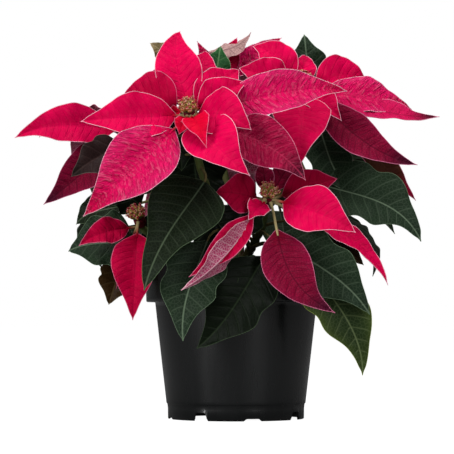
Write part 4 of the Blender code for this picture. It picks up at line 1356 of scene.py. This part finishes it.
        # The tissue between the veins grows faster than they do, and crinkles
        crinkle = add_node(tree, "ShaderNodeMath", {"operation": "MULTIPLY"},
                           {0: creases.outputs[0], 1: rim.outputs["Alpha"]})
        groove = add_node(tree, "ShaderNodeMath", {"operation": "MULTIPLY", 1: -0.06},
                          {0: side_line.outputs[0]})
        relief = add_node(tree, "ShaderNodeMath", {"operation": "ADD"},
                          {0: crinkle.outputs[0], 1: groove.outputs[0]})
        bump = add_node(tree, "ShaderNodeBump",
                        {"Strength": 0.9, "Distance": self.relief_mm * MM},
                        {"Height": relief.outputs[0]})
        tree.links.new(bump.outputs[0], shader.inputs["Normal"])
        shader.inputs["Roughness"].default_value = self.roughness
        shader.inputs["Specular IOR Level"].default_value = self.specular
        shader.inputs["Sheen Weight"].default_value = self.sheen
        shader.inputs["Sheen Tint"].default_value = (*linear(self.sheen_tint), 1.0)
        return made


@dataclass(frozen=True)
class BudSkin:
    """Small fleshy cups and stamens: smooth, a little glossy, coloured from foot to tip."""

    name: str = "cyathium_flesh"
    roughness: float = 0.42
    specular: float = 0.4

    def material(self) -> bpy.types.Material:
        """Build the material."""
        made, tree, shader = new_material(self.name)
        tissue = add_node(tree, "ShaderNodeAttribute", {"attribute_name": "tissue"})
        speckle = add_node(tree, "ShaderNodeTexNoise", {"Scale": 1.1, "Detail": 2.0}, {
            "Vector": add_node(tree, "ShaderNodeAttribute",
                               {"attribute_name": "flat_mm"}).outputs["Vector"]})
        level = add_node(tree, "ShaderNodeMapRange",
                         {"From Min": 0.3, "From Max": 0.7, "To Min": 0.75, "To Max": 1.2},
                         {"Value": speckle.outputs[0]})
        toned = add_node(tree, "ShaderNodeHueSaturation", links={
            "Color": tissue.outputs["Color"], "Value": level.outputs[0]})
        tree.links.new(toned.outputs[0], shader.inputs["Base Color"])
        shader.inputs["Roughness"].default_value = self.roughness
        shader.inputs["Specular IOR Level"].default_value = self.specular
        return made


@dataclass(frozen=True)
class BlackPolypropylene:
    """Regrind polypropylene, blow-moulded: near black, satin, with a faint orange peel."""

    name: str = "black_polypropylene"
    colour: str = "0C0E0F"
    roughness: float = 0.26
    specular: float = 0.42
    peel_mm: float = 1.2
    peel_depth_mm: float = 0.02
    streak_mm: float = 9.0

    def material(self) -> bpy.types.Material:
        """Build the material."""
        made, tree, shader = new_material(self.name)
        place = add_node(tree, "ShaderNodeTexCoord")
        stretched = add_node(tree, "ShaderNodeMapping", {"Scale": (1.0, 1.0, 0.08)},
                             {"Vector": place.outputs["Object"]})
        streaks = add_node(tree, "ShaderNodeTexNoise",
                           {"Scale": 1000 / self.streak_mm, "Detail": 3.0},
                           {"Vector": stretched.outputs[0]})
        level = add_node(tree, "ShaderNodeMapRange",
                         {"From Min": 0.3, "From Max": 0.7, "To Min": 0.85, "To Max": 1.15},
                         {"Value": streaks.outputs[0]})
        base = add_node(tree, "ShaderNodeHueSaturation",
                        {"Color": (*lit(self.colour), 1.0)}, {"Value": level.outputs[0]})
        tree.links.new(base.outputs[0], shader.inputs["Base Color"])
        gloss = add_node(tree, "ShaderNodeMapRange",
                         {"From Min": 0.3, "From Max": 0.7, "To Min": self.roughness - 0.03,
                          "To Max": self.roughness + 0.05}, {"Value": streaks.outputs[0]})
        tree.links.new(gloss.outputs[0], shader.inputs["Roughness"])
        peel = add_node(tree, "ShaderNodeTexNoise", {"Scale": 1000 / self.peel_mm, "Detail": 1.0},
                        {"Vector": place.outputs["Object"]})
        bump = add_node(tree, "ShaderNodeBump",
                        {"Strength": 0.5, "Distance": self.peel_depth_mm * MM},
                        {"Height": peel.outputs[0]})
        tree.links.new(bump.outputs[0], shader.inputs["Normal"])
        shader.inputs["Specular IOR Level"].default_value = self.specular
        return made


@dataclass(frozen=True)
class PeatSubstrate:
    """Damp sphagnum peat with fibres and a few white grains of perlite: matte and dark."""

    name: str = "peat_substrate"
    dark: str = "1E140C"
    light: str = "4E3822"
    perlite: str = "C8C2B4"
    fibre_mm: float = 0.8

    def material(self) -> bpy.types.Material:
        """Build the material."""
        made, tree, shader = new_material(self.name)
        place = add_node(tree, "ShaderNodeTexCoord")
        tissue = add_node(tree, "ShaderNodeAttribute", {"attribute_name": "tissue"})
        fibres = add_node(tree, "ShaderNodeTexNoise",
                          {"Scale": 1000 / self.fibre_mm, "Detail": 5.0, "Roughness": 0.7},
                          {"Vector": place.outputs["Object"]})
        tone = add_node(tree, "ShaderNodeMath", {"operation": "MULTIPLY"},
                        {0: fibres.outputs[0], 1: tissue.outputs["Fac"]})
        earth = add_node(tree, "ShaderNodeMix", {
            "data_type": "RGBA", 6: (*lit(self.dark), 1.0), 7: (*lit(self.light), 1.0)},
            {0: tone.outputs[0]})
        white = add_node(tree, "ShaderNodeMath", {"operation": "GREATER_THAN", 1: 0.95},
                         {0: tissue.outputs["Fac"]})
        surface = add_node(tree, "ShaderNodeMix", {
            "data_type": "RGBA", 7: (*lit(self.perlite), 1.0)},
            {0: white.outputs[0], 6: earth.outputs[2]})
        tree.links.new(surface.outputs[2], shader.inputs["Base Color"])
        bump = add_node(tree, "ShaderNodeBump", {"Strength": 0.8, "Distance": 0.4 * MM},
                        {"Height": fibres.outputs[0]})
        tree.links.new(bump.outputs[0], shader.inputs["Normal"])
        shader.inputs["Roughness"].default_value = 0.92
        shader.inputs["Specular IOR Level"].default_value = 0.15
        return made


@dataclass(frozen=True)
class StemBark:
    """Thin grey-brown bark of a woody stem, with fine lengthwise cracks."""

    name: str = "stem_bark"
    dark: str = "3A2E1E"
    light: str = "7A6A4C"
    crack_mm: float = 1.1

    def material(self) -> bpy.types.Material:
        """Build the material."""
        made, tree, shader = new_material(self.name)
        place = add_node(tree, "ShaderNodeTexCoord")
        stretched = add_node(tree, "ShaderNodeMapping", {"Scale": (1.0, 1.0, 0.15)},
                             {"Vector": place.outputs["Object"]})
        cracks = add_node(tree, "ShaderNodeTexNoise",
                          {"Scale": 1000 / self.crack_mm, "Detail": 4.0},
                          {"Vector": stretched.outputs[0]})
        wood = add_node(tree, "ShaderNodeMix", {
            "data_type": "RGBA", 6: (*lit(self.dark), 1.0), 7: (*lit(self.light), 1.0)},
            {0: cracks.outputs[0]})
        tree.links.new(wood.outputs[2], shader.inputs["Base Color"])
        bump = add_node(tree, "ShaderNodeBump", {"Strength": 0.7, "Distance": 0.3 * MM},
                        {"Height": cracks.outputs[0]})
        tree.links.new(bump.outputs[0], shader.inputs["Normal"])
        shader.inputs["Roughness"].default_value = 0.8
        shader.inputs["Specular IOR Level"].default_value = 0.25
        return made


@dataclass
class Studio:
    """A white room with soft lamps, a pale floor and the camera of the photograph.

    Attributes:
        distance: From the camera to the pot's axis, in metres.
        pixel: Size of one pixel of the picture at the pot's axis, in metres.
        picture: Width and height of the picture in pixels.
        camera_x: Where the camera stands sideways.
        camera_height: How high it stands.
        picture_middle: Height at the pot's axis that is in the middle of the picture.
    """

    distance: float = 1.5
    pixel: float = 0.714 * MM
    picture: int = 454
    camera_x: float = -0.0064
    camera_height: float = 0.070
    picture_middle: float = 0.1366
    sensor: float = 36.0
    floor_colour: str = "7C7C7C"
    room_light: float = 0.14
    backdrop_light: float = 1.0
    table_light: float = 0.04
    table_glow: float = 0.97

    def add_camera(self) -> None:
        """Add the camera and make it the scene's."""
        data = bpy.data.cameras.new("camera")
        data.sensor_width = self.sensor
        seen = self.picture * self.pixel
        data.lens = self.sensor * self.distance / seen
        data.shift_y = (self.picture_middle - self.camera_height) / seen
        camera = bpy.data.objects.new("camera", data)
        camera.location = (self.camera_x, -self.distance, self.camera_height)
        camera.rotation_euler = (math.radians(90), 0, 0)
        bpy.context.scene.collection.objects.link(camera)
        bpy.context.scene.camera = camera

    def add_lamp(self, name: str, place: Triple, size: tuple[float, float], power: float) -> None:
        """Add a soft box that looks at the plant.

        Args:
            name: Its name.
            place: Where it hangs, in metres.
            size: Its width and height in metres.
            power: Its power in watts.
        """
        data = bpy.data.lights.new(name, "AREA")
        data.shape = "RECTANGLE"
        data.size, data.size_y = size
        data.energy = power
        lamp = bpy.data.objects.new(name, data)
        lamp.location = place
        target = np.array([0.0, 0.0, 0.15]) - np.array(place)
        flat = math.hypot(target[0], target[1])
        lamp.rotation_euler = (math.pi / 2 + math.atan2(target[2], flat), 0,
                               math.atan2(target[1], target[0]) - math.pi / 2)
        bpy.context.scene.collection.objects.link(lamp)

    def add_floor(self) -> None:
        """Add the pale floor."""
        bm = bmesh.new()
        bmesh.ops.create_grid(bm, x_segments=1, y_segments=1, size=20.0)
        mesh = bpy.data.meshes.new("floor")
        bm.to_mesh(mesh)
        bm.free()
        made, tree, shader = new_material("opal_acrylic_light_table")
        shader.inputs["Base Color"].default_value = (*linear(self.floor_colour), 1.0)
        shader.inputs["Roughness"].default_value = 0.9
        shader.inputs["Specular IOR Level"].default_value = 0.1
        shader.inputs["Emission Color"].default_value = (1.0, 1.0, 1.0, 1.0)
        seen = add_node(tree, "ShaderNodeLightPath")
        strength = add_node(tree, "ShaderNodeMapRange",
                            {"To Min": self.table_light, "To Max": self.table_glow},
                            {"Value": seen.outputs["Is Camera Ray"]})
        tree.links.new(strength.outputs[0], shader.inputs["Emission Strength"])
        mesh.materials.append(made)
        floor = bpy.data.objects.new("floor", mesh)
        bpy.context.scene.collection.objects.link(floor)

    def build(self) -> None:
        """Light the room and place the camera."""
        scene = bpy.context.scene
        world = bpy.data.worlds.new("white_room")
        world.use_nodes = True
        background = world.node_tree.nodes["Background"]
        background.inputs["Color"].default_value = (1.0, 1.0, 1.0, 1.0)
        seen = add_node(world.node_tree, "ShaderNodeLightPath")
        strength = add_node(world.node_tree, "ShaderNodeMapRange",
                            {"To Min": self.room_light, "To Max": self.backdrop_light},
                            {"Value": seen.outputs["Is Camera Ray"]})
        world.node_tree.links.new(strength.outputs[0], background.inputs["Strength"])
        scene.world = world
        scene.view_settings.view_transform = "Standard"
        self.add_floor()
        self.add_lamp("left_soft_box", (-1.15, -1.25, 0.66), (0.45, 1.3), 22.5)
        self.add_lamp("right_soft_box", (0.85, -1.45, 0.66), (0.35, 1.3), 12.0)
        self.add_lamp("top_soft_box", (0.0, -0.35, 1.6), (1.2, 1.0), 19.0)
        self.add_camera()


def register(piece: bpy.types.Object, node: str) -> None:
    """Attach a piece to the root body, hide the solid of the frame that it stands for, and report both.

    Args:
        piece: The piece.
        node: The solid that it replaces.
    """
    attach(piece, "root")
    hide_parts(node)
    LOG.info("%s: %d faces for %s", piece.name, len(piece.data.polygons), node)


def main() -> None:
    """Build every piece, then the room and the camera."""
    logging.basicConfig(level=logging.INFO, format="%(name)s: %(message)s")
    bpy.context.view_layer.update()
    bract_skin = LeafSkin("red_bract_cuticle", 0.50, 0.02, 1.9, 0.50, 4.5, 2.6, 0.17, 3.0, 0.0,
                          "FF9AB8").material()
    leaf_skin = LeafSkin("green_leaf_cuticle", 0.42, 0.04, 2.4, 0.42, 6.0, 2.6, 0.05, 2.6, 0.0,
                         "A8B8A0").material()
    bud_skin = BudSkin().material()
    register(Pot().make(BlackPolypropylene().material()), "pot")
    register(Soil().make(PeatSubstrate().material()), "soil")
    register(MainStem().make(StemBark().material()), "main_stem")
    for branch in BRANCHES:
        grown = FloweringBranch(branch)
        name = branch.name
        register(grown.make_leafy_stem(leaf_skin), f"leafy_stem_{name}")
        register(grown.make_bracts(bract_skin), f"bracts_{name}")
        register(grown.make_cyathia(bud_skin), f"cyathia_{name}")
    Studio().build()


if __name__ == "__main__":
    main()
